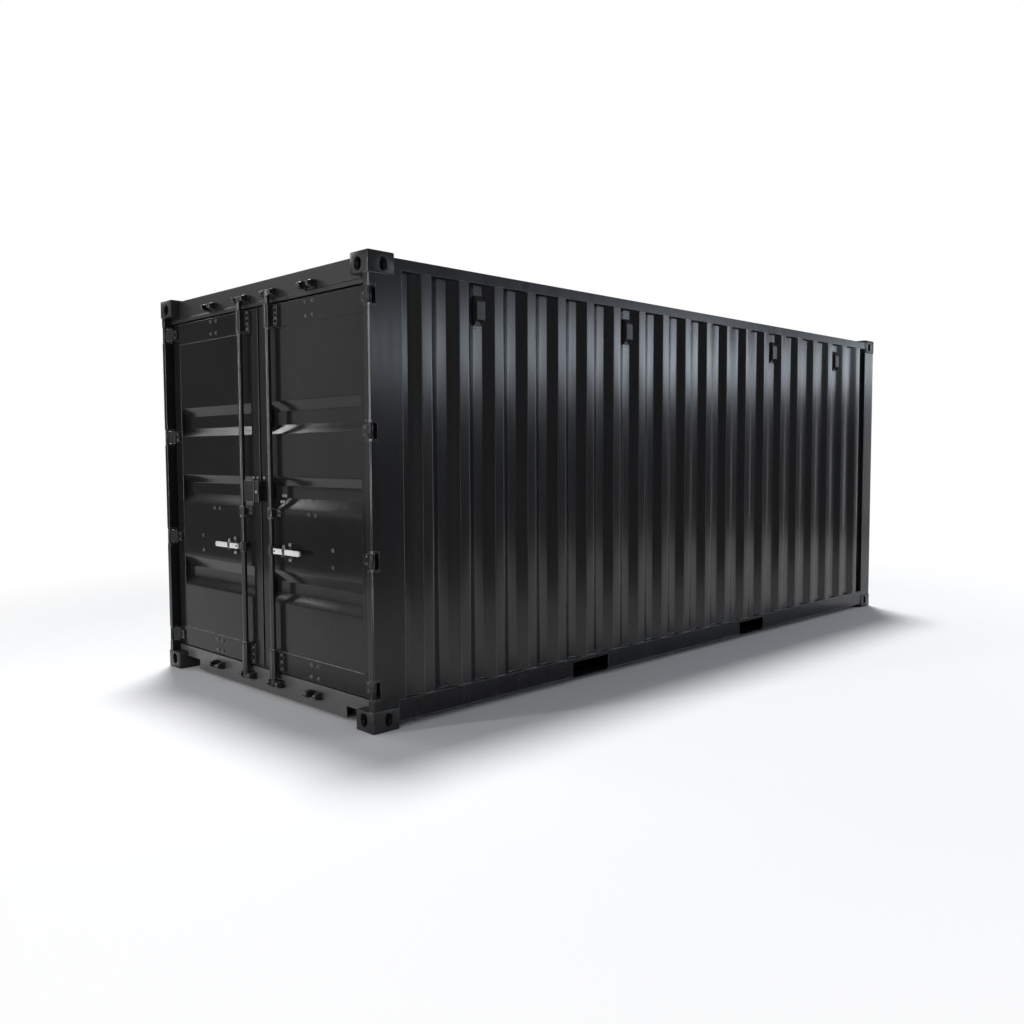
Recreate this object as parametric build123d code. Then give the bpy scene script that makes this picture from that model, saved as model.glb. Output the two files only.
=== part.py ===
# Twenty foot dry freight container with two corrugated doors.
# Millimetres. X runs along the length with the doors at -X, Y across, Z up from the floor.
# The origin is the middle of the footprint. Pieces are drawn on the +Y side and mirrored.
import os
from math import hypot

from build123d import *

# Overall size of the freight container
LENGTH = 6058
WIDTH = 2438
HEIGHT = 2591
END = LENGTH / 2
SIDE = WIDTH / 2

# Corner fittings
FITTING_LENGTH = 178
FITTING_WIDTH = 162
FITTING_HEIGHT = 118
FITTING_FACE_WALL = 28
FITTING_BACK_WALL = 12
FITTING_CHAMFER = 6
SLOT_FROM_END = 102.5
SLOT_FROM_SIDE = 89.5
SLOT_LENGTH = 124.5
SLOT_WIDTH = 63.5
END_HOLE_WIDTH = 63.5
SIDE_HOLE_WIDTH = 51
HOLE_HEIGHT = 76
HOLE_CENTRE = 67
HOLE_CORNER = 19

# Planes that the frame is set to
FITTING_PROUD = 4
POST_SIDE = SIDE - FITTING_PROUD
POST_FRONT = -END + FITTING_PROUD
FITTING_END = END - FITTING_LENGTH
FITTING_SIDE = SIDE - FITTING_WIDTH
FITTING_TOP = HEIGHT - FITTING_HEIGHT
RAIL_SETBACK = 6
WALL_SETBACK = 8
WALL_FLOOR = 160
WALL_TOP_DROP = 86
WALL_TOP = HEIGHT - WALL_TOP_DROP
RAIL_SIDE = SIDE - RAIL_SETBACK
RAIL_FLOOR = 25
CUT_MARGIN = 1

# Door end posts
POST_WALL = 6
POST_BOX_DEPTH = 135
POST_WIDTH = 43
POST_FIN_REACH = 226
POST_CHAMFER = 7

# Hinges
HINGE_SHARES = (0.0284, 0.3413, 0.6524, 0.9711)
HINGE_INSET = 20
HINGE_NOTCH_DEPTH = 53
HINGE_NOTCH_HEIGHT = 112
LUG_THICKNESS = 11
LUG_CHAMFER = 10
KNUCKLE_RADIUS = 15
KNUCKLE_GAP = 2
PIN_RADIUS = 10
PIN_CLEARANCE = 0.3
BLADE_THICKNESS = 10
BLADE_LAP = 66
BLADE_TAPER = 14
BLADE_CRANK = 5

# Door header and sill
BEAM_FACE = 63
HEADER_DROP = 9
HEADER_DEPTH = 148
HEADER_WALL = 5
HEADER_BAND = 30
HEADER_BAND_PROUD = 8
SILL_FLOOR = 17
SILL_WALL = 6
SILL_NOTCH_REACH = 339
SILL_NOTCH_TOP = 85

# Long side rails
TOP_RAIL_SIZE = 60
TOP_RAIL_WALL = 3
RAIL_WALL = 4.5
RAIL_TOP_FLANGE = 48
RAIL_FLOOR_FLANGE = 40
RAIL_BEND = 15

# Corrugated long walls
SHEET = 2
WALL_FACE = SIDE - WALL_SETBACK
WALL_DEPTH = 36
WALL_RIBS = 20
WALL_START_FLAT = 299
WALL_END_FLAT = 34
WALL_OUTER_SHARE = 0.2562
WALL_SLOPE_SHARE = 0.242

# Blind end
BLIND_POST_LEG = 115
BLIND_POST_DEPTH = 48
BLIND_FACE = END - WALL_SETBACK
BLIND_DEPTH = 44
BLIND_END_FLAT = 152
BLIND_OUTER_FLAT = 110
BLIND_SLOPE = 18
BLIND_RIBS = 8
BLIND_RAIL_FACE = END - RAIL_SETBACK

# Roof
ROOF_RIBS = 25
ROOF_END_FLAT = 129
ROOF_RIB_WIDTH = 116
ROOF_RIB_HEIGHT = 16
ROOF_TAPER = 40

# Floor and base
FLOOR_THICKNESS = 28
FLOOR_UNDERSIDE = 140
FLOOR_SIDE_GAP = 10
FLOOR_END_GAP = 2
MEMBER_BAYS = (5, 6, 6)
MEMBER_END_GAP = 151
MEMBER_FORK_GAP = 300
MEMBER_FLANGE = 45
MEMBER_WALL = 4
FORK_WIDTH = 365
FORK_SPACING = 2050
FORK_OFFSET = -190
FORK_PLATE = 5
FORK_ROOF = 4
FORK_STRAP = 210

# Ventilators, in the wall recesses counted from the doors
VENT_RECESSES = (1, 6, 13, 17)
VENT_SIDE_GAP = 3.5
VENT_DROP = 64
VENT_HEIGHT = 176
VENT_DEPTH = 33
VENT_SLOPE = 36
VENT_RIM = 3

# Door leaves
DOOR_FACE = 60
DOOR_DEPTH = 50
DOOR_POST_GAP = 22
DOOR_MEETING_EDGE = 10
DOOR_END_GAP = 12
HINGE_STILE = 93
MEETING_STILE = 95
STILE_WALL = 4
DOOR_TOP_RAIL = 142
DOOR_LOWER_RAIL = 128
LOWER_TROUGH_SHARES = (0.1566, 0.1843, 0.2192, 0.2551)
MIDDLE_TROUGH_SHARES = (0.4455, 0.4808, 0.5177, 0.5444)
UPPER_TROUGH_SHARES = (0.6773, 0.7056, 0.7465, 0.7778)
TROUGH_DEPTH = 36
GASKET = 7
GASKET_MEETING = 5
GASKET_SETBACK = 19
GASKET_DEPTH = 25

# Locking bars, guides, cams and keepers
BAR_SIDE = 168
BAR_DEPTH = 25
BAR_RADIUS = 17
BAR_FLOOR = 84
BAR_TOP_DROP = 85
BAR_CLEARANCE = 0.4
LOWER_GUIDE = (134, 306)
MIDDLE_GUIDE = (1136, 1180)
UPPER_GUIDE_LENGTH = 135
GUIDE_RADIUS = 23.5
GUIDE_CHAMFER = 13
GUIDE_PLATE_WIDTH = 116
GUIDE_PLATE = 6
KEEPER_SPARE_SIDE = 580
KEEPER_RISE = 100
KEEPER_DROP = 101
KEEPER_HEIGHT = 46
KEEPER_PLATE = 5
KEEPER_INNER = 37
KEEPER_LUG = 26
KEEPER_FRONT = 2
KEEPER_LIP = 9
KEEPER_LIP_REACH = 13
CAM_HEIGHT = 34
CAM_BARREL = 20
CAM_SHOULDER = 10
CAM_REACH = 28
CAM_THICKNESS = 16

# Handles, their hubs and catches
HANDLE_HEIGHT = 930
HUB_RADIUS = 24
HUB_SIDES = 8
HUB_HEIGHT = 56
HUB_LUG_REACH = 84
HUB_LUG_THICKNESS = 14
HUB_LUG_HEIGHT = 38
HANDLE_PIVOT = 64
HANDLE_PIN_RADIUS = 6
HANDLE_PIN_PROUD = 3
HANDLE_HEEL = 14
HANDLE_TIP = 505
HANDLE_WIDTH = 32
HANDLE_THICKNESS = 12
HANDLE_FRONT = 5
HANDLE_GAP = 0.5
CATCH_SIDE = 330
CATCH_WIDTH = 46
CATCH_DROP = 62
CATCH_RISE = 53
CATCH_PLATE = 6
CATCH_CLEARANCE = 5
CATCH_LEDGE = 8

# Lock box that hides the padlock
LOCK_BOX_FLOOR = 1223
LOCK_BOX_TOP = 1354
LOCK_BOX_FRONT = 8
LOCK_BOX_WALL = 4
LOCK_BOX_LEFT = 124
LOCK_BOX_RIGHT = 50
LOCK_BOX_GAP = 6


def block(x_lo, x_hi, y_lo, y_hi, z_lo, z_hi):
    """Box between two limits on each axis."""
    box = Box(x_hi - x_lo, y_hi - y_lo, z_hi - z_lo)
    return Pos((x_lo + x_hi) / 2, (y_lo + y_hi) / 2, (z_lo + z_hi) / 2) * box


def prism_x(outline, x_lo, x_hi):
    """Outline in Y and Z, drawn out along X."""
    face = make_face(Polyline(*[(x_lo, y, z) for y, z in outline], close=True))
    return extrude(face, amount=x_hi - x_lo, dir=(1, 0, 0))


def prism_y(outline, y_lo, y_hi):
    """Outline in X and Z, drawn out along Y."""
    face = make_face(Polyline(*[(x, y_lo, z) for x, z in outline], close=True))
    return extrude(face, amount=y_hi - y_lo, dir=(0, 1, 0))


def prism_z(outline, z_lo, z_hi):
    """Outline in X and Y, drawn out along Z."""
    face = make_face(Polyline(*[(x, y, z_lo) for x, y in outline], close=True))
    return extrude(face, amount=z_hi - z_lo, dir=(0, 0, 1))


def sheet_outline(path, thickness):
    """Closed outline of a bent sheet whose second face lies to the left of the path."""
    normals = []
    for start, stop in zip(path, path[1:]):
        run = (stop[0] - start[0], stop[1] - start[1])
        normals.append((-run[1] / hypot(*run), run[0] / hypot(*run)))
    back = []
    for index, point in enumerate(path):
        before = normals[max(index - 1, 0)]
        after = normals[min(index, len(normals) - 1)]
        mitre = thickness / (1 + before[0] * after[0] + before[1] * after[1])
        back.append((point[0] + (before[0] + after[0]) * mitre, point[1] + (before[1] + after[1]) * mitre))
    return path + back[::-1]


def cut_corners(middle, height, width, rise, corner):
    """Outline of a rectangle with its corners cut off."""
    half = width / 2
    reach = rise / 2
    quarter = [(half, reach - corner), (half - corner, reach)]
    upper = quarter + [(-x, z) for x, z in quarter[::-1]]
    whole = upper + [(-x, -z) for x, z in upper]
    return [(middle + x, height + z) for x, z in whole]


def other_side(shape):
    """The same piece on the -Y side."""
    return mirror(shape, about=Plane.XZ)


def other_end(shape):
    """The same piece at the far end."""
    return mirror(shape, about=Plane.YZ)


def group(shapes):
    """Like pieces kept together as separate solids."""
    solids = []
    for shape in shapes:
        solids.extend(shape.solids())
    return Compound(solids)


def upright_edges(shape, x, y):
    """Upright edges of a shape that stand at one place in the plan."""
    near = 0.1
    chosen = []
    for edge in shape.edges().filter_by(Axis.Z):
        middle = edge.center()
        if abs(middle.X - x) < near and abs(middle.Y - y) < near:
            chosen.append(edge)
    return chosen


# Corner fittings: a hollow casting with a slot, an end hole and a side hole
def corner_fitting():
    """Lower fitting at the door end on the +Y side."""
    end = -END
    body = block(end, end + FITTING_LENGTH, SIDE - FITTING_WIDTH, SIDE, 0, FITTING_HEIGHT)
    body = chamfer(body.edges(), FITTING_CHAMFER)
    body -= block(
        end + FITTING_FACE_WALL,
        end + FITTING_LENGTH - FITTING_BACK_WALL,
        SIDE - FITTING_WIDTH + FITTING_BACK_WALL,
        SIDE - FITTING_FACE_WALL,
        FITTING_FACE_WALL,
        FITTING_HEIGHT - FITTING_BACK_WALL,
    )
    slot_x = end + SLOT_FROM_END
    slot_y = SIDE - SLOT_FROM_SIDE
    end_hole = cut_corners(slot_y, HOLE_CENTRE, END_HOLE_WIDTH, HOLE_HEIGHT, HOLE_CORNER)
    body -= prism_x(end_hole, end, end + FITTING_FACE_WALL)
    side_hole = cut_corners(slot_x, HOLE_CENTRE, SIDE_HOLE_WIDTH, HOLE_HEIGHT, HOLE_CORNER)
    body -= prism_y(side_hole, SIDE - FITTING_FACE_WALL, SIDE)
    slot = extrude(SlotOverall(SLOT_LENGTH, SLOT_WIDTH), amount=FITTING_FACE_WALL)
    return body - Pos(slot_x, slot_y, 0) * slot


def four_corners(shape):
    """One piece repeated at the four corners of the plan."""
    pair = [shape, other_side(shape)]
    return pair + [other_end(piece) for piece in pair]


# Places of the door end, from the posts to the leaf between header and sill
POST_INNER = POST_SIDE - POST_WIDTH
POST_BACK = POST_FRONT + POST_BOX_DEPTH
POST_FIN_END = -END + POST_FIN_REACH
BEAM_FRONT = -END + BEAM_FACE
HEADER_TOP = HEIGHT - HEADER_DROP
HEADER_FLOOR = HEADER_TOP - HEADER_DEPTH
DOOR_FRONT = -END + DOOR_FACE
DOOR_BACK = DOOR_FRONT + DOOR_DEPTH
DOOR_FLOOR = WALL_FLOOR + DOOR_END_GAP
DOOR_TOP = HEADER_FLOOR - DOOR_END_GAP
DOOR_HINGE_EDGE = POST_INNER - DOOR_POST_GAP
HINGE_X = -END + HINGE_INSET
HINGE_Y = SIDE - HINGE_INSET
HINGE_HEIGHTS = [DOOR_FLOOR + share * (DOOR_TOP - DOOR_FLOOR) for share in HINGE_SHARES]
NOTCH_BACK = -END + HINGE_NOTCH_DEPTH


# Door end posts: two cells and a fin that laps the long wall


def door_post():
    """Post with open notches for the hinges."""
    post = block(POST_FRONT, POST_BACK, POST_INNER, POST_SIDE, FITTING_HEIGHT, FITTING_TOP)
    post = chamfer(upright_edges(post, POST_FRONT, POST_SIDE), POST_CHAMFER)
    cell_inner = POST_INNER + POST_WALL
    cell_outer = POST_SIDE - POST_WALL
    front_cell = (POST_FRONT + POST_WALL, NOTCH_BACK)
    back_cell = (NOTCH_BACK + POST_WALL, POST_BACK - POST_WALL)
    for cell_front, cell_back in (front_cell, back_cell):
        post -= block(cell_front, cell_back, cell_inner, cell_outer, FITTING_HEIGHT, FITTING_TOP)
    post += block(POST_BACK, -FITTING_END, cell_outer, POST_SIDE, FITTING_HEIGHT, FITTING_TOP)
    post += block(-FITTING_END, POST_FIN_END, cell_outer, POST_SIDE, WALL_FLOOR, WALL_TOP)
    for height in HINGE_HEIGHTS:
        half = HINGE_NOTCH_HEIGHT / 2
        post -= block(-END, NOTCH_BACK, POST_INNER - CUT_MARGIN, SIDE, height - half, height + half)
    return post


def hinge_bracket(height):
    """Two lugs with the pin welded between them."""
    half = HINGE_NOTCH_HEIGHT / 2
    lug_front = HINGE_X - KNUCKLE_RADIUS
    lug_outer = HINGE_Y + KNUCKLE_RADIUS
    lug = block(lug_front, NOTCH_BACK, POST_INNER, lug_outer, 0, LUG_THICKNESS)
    lug = chamfer(upright_edges(lug, lug_front, lug_outer), LUG_CHAMFER)
    pin_length = HINGE_NOTCH_HEIGHT - LUG_THICKNESS
    pin = Pos(HINGE_X, HINGE_Y, height) * Cylinder(PIN_RADIUS, pin_length)
    return Pos(0, 0, height - half) * lug + Pos(0, 0, height + half - LUG_THICKNESS) * lug + pin


def hinge_blade(height):
    """Strap on the door, cranked out to the knuckle on the pin."""
    length = HINGE_NOTCH_HEIGHT - 2 * LUG_THICKNESS - 2 * KNUCKLE_GAP
    floor = height - length / 2
    top = floor + length
    bend = DOOR_HINGE_EDGE + BLADE_CRANK
    inner = DOOR_HINGE_EDGE - BLADE_LAP
    path = [(DOOR_FRONT, inner), (DOOR_FRONT, bend), (HINGE_X, HINGE_Y)]
    strap = prism_z(sheet_outline(path, BLADE_THICKNESS), floor, top)
    front_view = [
        (SIDE, floor),
        (bend, floor),
        (inner, floor + BLADE_TAPER),
        (inner, top - BLADE_TAPER),
        (bend, top),
        (SIDE, top),
    ]
    strap &= prism_x(front_view, -END, DOOR_FRONT)
    knuckle = Pos(HINGE_X, HINGE_Y, height) * Cylinder(KNUCKLE_RADIUS, length)
    bore = Pos(HINGE_X, HINGE_Y, height) * Cylinder(PIN_RADIUS + PIN_CLEARANCE, length + CUT_MARGIN)
    return strap + knuckle - bore


# Door header and sill
def door_header():
    """Hollow beam between the upper fittings, with a proud lower band."""
    beam = block(BEAM_FRONT, -FITTING_END, -FITTING_SIDE, FITTING_SIDE, HEADER_FLOOR, HEADER_TOP)
    beam -= block(
        BEAM_FRONT + HEADER_WALL,
        -FITTING_END - HEADER_WALL,
        -FITTING_SIDE,
        FITTING_SIDE,
        HEADER_FLOOR + HEADER_WALL,
        HEADER_TOP - HEADER_WALL,
    )
    for shape in (1, -1):
        inner, outer = sorted((shape * FITTING_SIDE, shape * POST_INNER))
        beam += block(BEAM_FRONT, -FITTING_END, inner, outer, HEADER_FLOOR, FITTING_TOP)
    front = BEAM_FRONT - HEADER_BAND_PROUD
    band_top = HEADER_FLOOR + HEADER_BAND
    band = [
        (BEAM_FRONT, HEADER_FLOOR),
        (front, HEADER_FLOOR),
        (front, band_top - HEADER_BAND_PROUD),
        (BEAM_FRONT, band_top),
    ]
    return beam + prism_y(band, -POST_INNER, POST_INNER)


def door_sill():
    """Channel under the doors, notched beside the lower fittings."""
    path = [
        (-FITTING_END, WALL_FLOOR),
        (BEAM_FRONT, WALL_FLOOR),
        (BEAM_FRONT, SILL_FLOOR),
        (-FITTING_END, SILL_FLOOR),
    ]
    outline = sheet_outline(path, SILL_WALL)
    sill = prism_y(outline, -FITTING_SIDE, FITTING_SIDE)
    ends = prism_y(outline, -POST_INNER, POST_INNER)
    ends &= block(-END, 0, -SIDE, SIDE, FITTING_HEIGHT, HEIGHT)
    sill += ends
    for side in (1, -1):
        inner, outer = sorted((side * (SIDE - SILL_NOTCH_REACH), side * SIDE))
        sill -= block(-END, -FITTING_END, inner, outer, 0, SILL_NOTCH_TOP)
    return sill


# Long side rails
def top_side_rail():
    """Square tube under the roof edge."""
    inner = RAIL_SIDE - TOP_RAIL_SIZE
    top = WALL_TOP + TOP_RAIL_SIZE
    wall = TOP_RAIL_WALL
    rail = block(-FITTING_END, FITTING_END, inner, RAIL_SIDE, WALL_TOP, top)
    rail -= block(-FITTING_END, FITTING_END, inner + wall, RAIL_SIDE - wall, WALL_TOP + wall, top - wall)
    return rail


FORK_CENTRES = (FORK_OFFSET - FORK_SPACING / 2, FORK_OFFSET + FORK_SPACING / 2)
RAIL_WEB = RAIL_SIDE - RAIL_WALL
RAIL_SHELF = RAIL_FLOOR + RAIL_WALL
RAIL_THROAT = RAIL_SIDE - RAIL_BEND - RAIL_WALL
FORK_TOP = FLOOR_UNDERSIDE - FORK_ROOF


def bottom_side_rail():
    """Channel with its flanges inward, cut away at the fork pockets."""
    path = [
        (RAIL_SIDE - RAIL_FLOOR_FLANGE, RAIL_FLOOR),
        (RAIL_SIDE - RAIL_BEND, RAIL_FLOOR),
        (RAIL_SIDE, RAIL_FLOOR + RAIL_BEND),
        (RAIL_SIDE, WALL_FLOOR),
        (RAIL_SIDE - RAIL_TOP_FLANGE, WALL_FLOOR),
    ]
    rail = prism_x(sheet_outline(path, RAIL_WALL), -FITTING_END, FITTING_END)
    for centre in FORK_CENTRES:
        half = FORK_WIDTH / 2
        outer = half + FORK_PLATE
        rail -= block(centre - half, centre + half, 0, SIDE, 0, FORK_TOP)
        rail -= block(centre - outer, centre + outer, 0, SIDE, 0, RAIL_SHELF)
    return rail


# Long walls: the ribs share out the length between the door post and the blind end
WALL_INNER = WALL_FACE - WALL_DEPTH
WALL_FIRST_FOOT = -END + WALL_START_FLAT
WALL_RUN_SHARE = 2 * WALL_SLOPE_SHARE + WALL_OUTER_SHARE
WALL_PITCH = (FITTING_END - WALL_END_FLAT - WALL_FIRST_FOOT) / (WALL_RIBS - 1 + WALL_RUN_SHARE)
WALL_SLOPE = WALL_SLOPE_SHARE * WALL_PITCH
WALL_RUN = WALL_RUN_SHARE * WALL_PITCH


def wall_path():
    """Plan of the outer face of one long wall, from the door post to the blind end."""
    path = [(POST_BACK, WALL_INNER)]
    for rib in range(WALL_RIBS):
        foot = WALL_FIRST_FOOT + rib * WALL_PITCH
        path.append((foot, WALL_INNER))
        path.append((foot + WALL_SLOPE, WALL_FACE))
        path.append((foot + WALL_RUN - WALL_SLOPE, WALL_FACE))
        path.append((foot + WALL_RUN, WALL_INNER))
    path.append((FITTING_END, WALL_INNER))
    return path


def side_wall():
    """Corrugated sheet, trimmed round the upper fitting."""
    outline = sheet_outline(wall_path()[::-1], SHEET)
    wall = prism_z(outline, WALL_FLOOR, WALL_TOP)
    return wall - block(-END, -FITTING_END, 0, SIDE, FITTING_TOP, HEIGHT)


# Blind end
BLIND_POST_INNER = POST_SIDE - BLIND_POST_LEG


def blind_post():
    """Hollow angle section."""
    side_leg = WALL_INNER - SHEET
    back = END - FITTING_PROUD
    end_leg = back - BLIND_POST_DEPTH
    wall = POST_WALL
    outer = [
        (FITTING_END, side_leg),
        (FITTING_END, POST_SIDE),
        (back, POST_SIDE),
        (back, BLIND_POST_INNER),
        (end_leg, BLIND_POST_INNER),
        (end_leg, side_leg),
    ]
    hollow = [
        (FITTING_END + wall, side_leg + wall),
        (FITTING_END + wall, POST_SIDE - wall),
        (back - wall, POST_SIDE - wall),
        (back - wall, BLIND_POST_INNER + wall),
        (end_leg + wall, BLIND_POST_INNER + wall),
        (end_leg + wall, side_leg + wall),
    ]
    return prism_z(outer, FITTING_HEIGHT, FITTING_TOP) - prism_z(hollow, FITTING_HEIGHT, FITTING_TOP)


def blind_wall():
    """Deeply corrugated end sheet."""
    inner = BLIND_FACE - BLIND_DEPTH
    run = BLIND_OUTER_FLAT + 2 * BLIND_SLOPE
    first_foot = BLIND_END_FLAT - BLIND_POST_INNER
    pitch = (-2 * first_foot - run) / (BLIND_RIBS - 1)
    path = [(inner, -BLIND_POST_INNER)]
    for rib in range(BLIND_RIBS):
        foot = first_foot + rib * pitch
        path.append((inner, foot))
        path.append((BLIND_FACE, foot + BLIND_SLOPE))
        path.append((BLIND_FACE, foot + BLIND_SLOPE + BLIND_OUTER_FLAT))
        path.append((inner, foot + run))
    path.append((inner, BLIND_POST_INNER))
    wall = prism_z(sheet_outline(path, SHEET), WALL_FLOOR, WALL_TOP)
    for side in (1, -1):
        lo, hi = sorted((side * FITTING_SIDE, side * SIDE))
        wall -= block(0, END, lo, hi, FITTING_TOP, HEIGHT)
    return wall


def blind_top_rail():
    """Square tube over the end wall."""
    inner = BLIND_RAIL_FACE - TOP_RAIL_SIZE
    top = WALL_TOP + TOP_RAIL_SIZE
    wall = TOP_RAIL_WALL
    rail = block(inner, BLIND_RAIL_FACE, -FITTING_SIDE, FITTING_SIDE, WALL_TOP, top)
    return rail - block(
        inner + wall, BLIND_RAIL_FACE - wall, -FITTING_SIDE, FITTING_SIDE, WALL_TOP + wall, top - wall
    )


def blind_sill():
    """Channel under the end wall, its top flange carried past the fittings."""
    inner = BLIND_RAIL_FACE - TOP_RAIL_SIZE
    path = [
        (inner, RAIL_FLOOR),
        (BLIND_RAIL_FACE, RAIL_FLOOR),
        (BLIND_RAIL_FACE, WALL_FLOOR),
        (inner, WALL_FLOOR),
    ]
    outline = sheet_outline(path, RAIL_WALL)
    ends = prism_y(outline, -BLIND_POST_INNER, BLIND_POST_INNER)
    ends &= block(0, END, -SIDE, SIDE, FITTING_HEIGHT, HEIGHT)
    return prism_y(outline, -FITTING_SIDE, FITTING_SIDE) + ends


# Roof
def roof():
    """Sheet with stamped ribs across it."""
    floor = WALL_TOP + TOP_RAIL_SIZE
    top = floor + SHEET
    sheet = block(-FITTING_END, FITTING_END, -RAIL_SIDE, RAIL_SIDE, floor, top)
    sheet += block(FITTING_END, BLIND_RAIL_FACE, -FITTING_SIDE, FITTING_SIDE, floor, top)
    rib_length = 2 * (SIDE - ROOF_END_FLAT)
    rib = extrude(Rectangle(ROOF_RIB_WIDTH, rib_length), amount=ROOF_RIB_HEIGHT, taper=ROOF_TAPER)
    hollow = Pos(0, 0, -SHEET) * rib
    first = -FITTING_END + ROOF_END_FLAT + ROOF_RIB_WIDTH / 2
    pitch = -2 * first / (ROOF_RIBS - 1)
    ribs = []
    hollows = []
    for index in range(ROOF_RIBS):
        place = Pos(first + index * pitch, 0, top)
        ribs.append(place * rib)
        hollows.append(place * hollow)
    return (sheet + ribs) - hollows


# Floor and base
def floor_boards():
    """Plywood deck between the long walls."""
    front = -FITTING_END + FLOOR_END_GAP
    back = BLIND_RAIL_FACE - TOP_RAIL_SIZE - FLOOR_END_GAP
    side = WALL_INNER - SHEET - FLOOR_SIDE_GAP
    return block(front, back, -side, side, FLOOR_UNDERSIDE, FLOOR_UNDERSIDE + FLOOR_THICKNESS)


def cross_members():
    """Channels under the floor, spread over the three bays that the fork pockets leave."""
    limits = [MEMBER_END_GAP - FITTING_END]
    for centre in FORK_CENTRES:
        limits.extend([centre - MEMBER_FORK_GAP, centre + MEMBER_FORK_GAP])
    limits.append(FITTING_END - MEMBER_END_GAP)
    members = []
    for first, last, count in zip(limits[::2], limits[1::2], MEMBER_BAYS):
        for index in range(count):
            middle = first + (last - first) * index / (count - 1)
            path = [
                (middle + MEMBER_FLANGE / 2, FLOOR_UNDERSIDE),
                (middle - MEMBER_FLANGE / 2, FLOOR_UNDERSIDE),
                (middle - MEMBER_FLANGE / 2, RAIL_SHELF),
                (middle + MEMBER_FLANGE / 2, RAIL_SHELF),
            ]
            members.append(prism_y(sheet_outline(path, MEMBER_WALL), -RAIL_THROAT, RAIL_THROAT))
    return group(members)


def fork_pocket(centre):
    """Tunnel across the base, open below except for a strap at each end."""
    half = FORK_WIDTH / 2
    outer = half + FORK_PLATE
    pocket = block(centre - outer, centre + outer, -RAIL_WEB, RAIL_WEB, FORK_TOP, FLOOR_UNDERSIDE)
    for side in (-1, 1):
        lo, hi = sorted((side * half, side * outer))
        pocket += block(centre + lo, centre + hi, -RAIL_THROAT, RAIL_THROAT, RAIL_SHELF, FORK_TOP)
        pocket += block(centre + lo, centre + hi, -RAIL_WEB, RAIL_WEB, RAIL_SHELF + RAIL_BEND, FORK_TOP)
    for side in (-1, 1):
        lo, hi = sorted((side * (RAIL_SIDE - FORK_STRAP), side * (RAIL_SIDE - RAIL_BEND)))
        pocket += block(centre - outer, centre + outer, lo, hi, RAIL_FLOOR, RAIL_SHELF)
    return pocket


# Ventilators
def ventilator(recess):
    """Hood with sloping ends, open underneath, on a thin back plate."""
    base = WALL_INNER
    inner_flat = WALL_PITCH - WALL_RUN
    middle = WALL_FIRST_FOOT + WALL_RUN + inner_flat / 2 + recess * WALL_PITCH
    front = base + VENT_DEPTH
    top = WALL_TOP - VENT_DROP
    floor = top - VENT_HEIGHT
    outline = [
        (base, floor),
        (base + VENT_RIM, floor),
        (front, floor + VENT_SLOPE),
        (front, top - VENT_SLOPE),
        (base + VENT_RIM, top),
        (base, top),
    ]
    half = inner_flat / 2 - VENT_SIDE_GAP
    hood = prism_x(outline, middle - half, middle + half)
    return hood - block(
        middle - half + VENT_RIM,
        middle + half - VENT_RIM,
        base + VENT_RIM,
        front - VENT_RIM,
        floor,
        top - VENT_SLOPE,
    )


# Keepers for the locking bars
def bar_keeper(side, height):
    """Plate with two lugs, the lug nearer the meeting line hooked over the cam."""
    floor = height - KEEPER_HEIGHT / 2
    top = floor + KEEPER_HEIGHT
    plate_front = BEAM_FRONT - KEEPER_PLATE
    front = -END + KEEPER_FRONT
    reach = KEEPER_INNER + KEEPER_LUG
    keeper = block(plate_front, BEAM_FRONT, side - reach, side + reach, floor, top)
    keeper += block(front, plate_front, side - reach, side - KEEPER_INNER, floor, top)
    keeper += block(front, plate_front, side + KEEPER_INNER, side + reach, floor, top)
    lip = KEEPER_INNER - KEEPER_LIP_REACH
    keeper += block(front, front + KEEPER_LIP, side - KEEPER_INNER, side - lip, floor, top)
    return keeper


# Door leaf
PANEL_HINGE = DOOR_HINGE_EDGE - HINGE_STILE
PANEL_MEETING = DOOR_MEETING_EDGE + MEETING_STILE
PANEL_FLOOR = DOOR_FLOOR + DOOR_LOWER_RAIL
PANEL_TOP = DOOR_TOP - DOOR_TOP_RAIL


def stile(y_lo, y_hi):
    """Upright tube of a door frame."""
    tube = block(DOOR_FRONT, DOOR_BACK, y_lo, y_hi, DOOR_FLOOR, DOOR_TOP)
    wall = STILE_WALL
    return tube - block(DOOR_FRONT + wall, DOOR_BACK - wall, y_lo + wall, y_hi - wall, DOOR_FLOOR, DOOR_TOP)


def door_rail(z_lo, z_hi):
    """Channel across a door frame, open to the inside."""
    rail = block(DOOR_FRONT, DOOR_BACK, PANEL_MEETING, PANEL_HINGE, z_lo, z_hi)
    wall = STILE_WALL
    return rail - block(DOOR_FRONT + wall, DOOR_BACK, PANEL_MEETING, PANEL_HINGE, z_lo + wall, z_hi - wall)


def door_frame():
    """Two stiles and two rails welded up."""
    frame = stile(DOOR_MEETING_EDGE, PANEL_MEETING) + stile(PANEL_HINGE, DOOR_HINGE_EDGE)
    return frame + door_rail(DOOR_FLOOR, PANEL_FLOOR) + door_rail(PANEL_TOP, DOOR_TOP)


def door_panel():
    """Sheet with three troughs pressed inward across it."""
    path = [(DOOR_FRONT, PANEL_FLOOR)]
    for shares in (LOWER_TROUGH_SHARES, MIDDLE_TROUGH_SHARES, UPPER_TROUGH_SHARES):
        heights = [PANEL_FLOOR + share * (PANEL_TOP - PANEL_FLOOR) for share in shares]
        path.append((DOOR_FRONT, heights[0]))
        path.append((DOOR_FRONT + TROUGH_DEPTH, heights[1]))
        path.append((DOOR_FRONT + TROUGH_DEPTH, heights[2]))
        path.append((DOOR_FRONT, heights[3]))
    path.append((DOOR_FRONT, PANEL_TOP))
    return prism_y(sheet_outline(path[::-1], SHEET), PANEL_MEETING, PANEL_HINGE)


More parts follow.
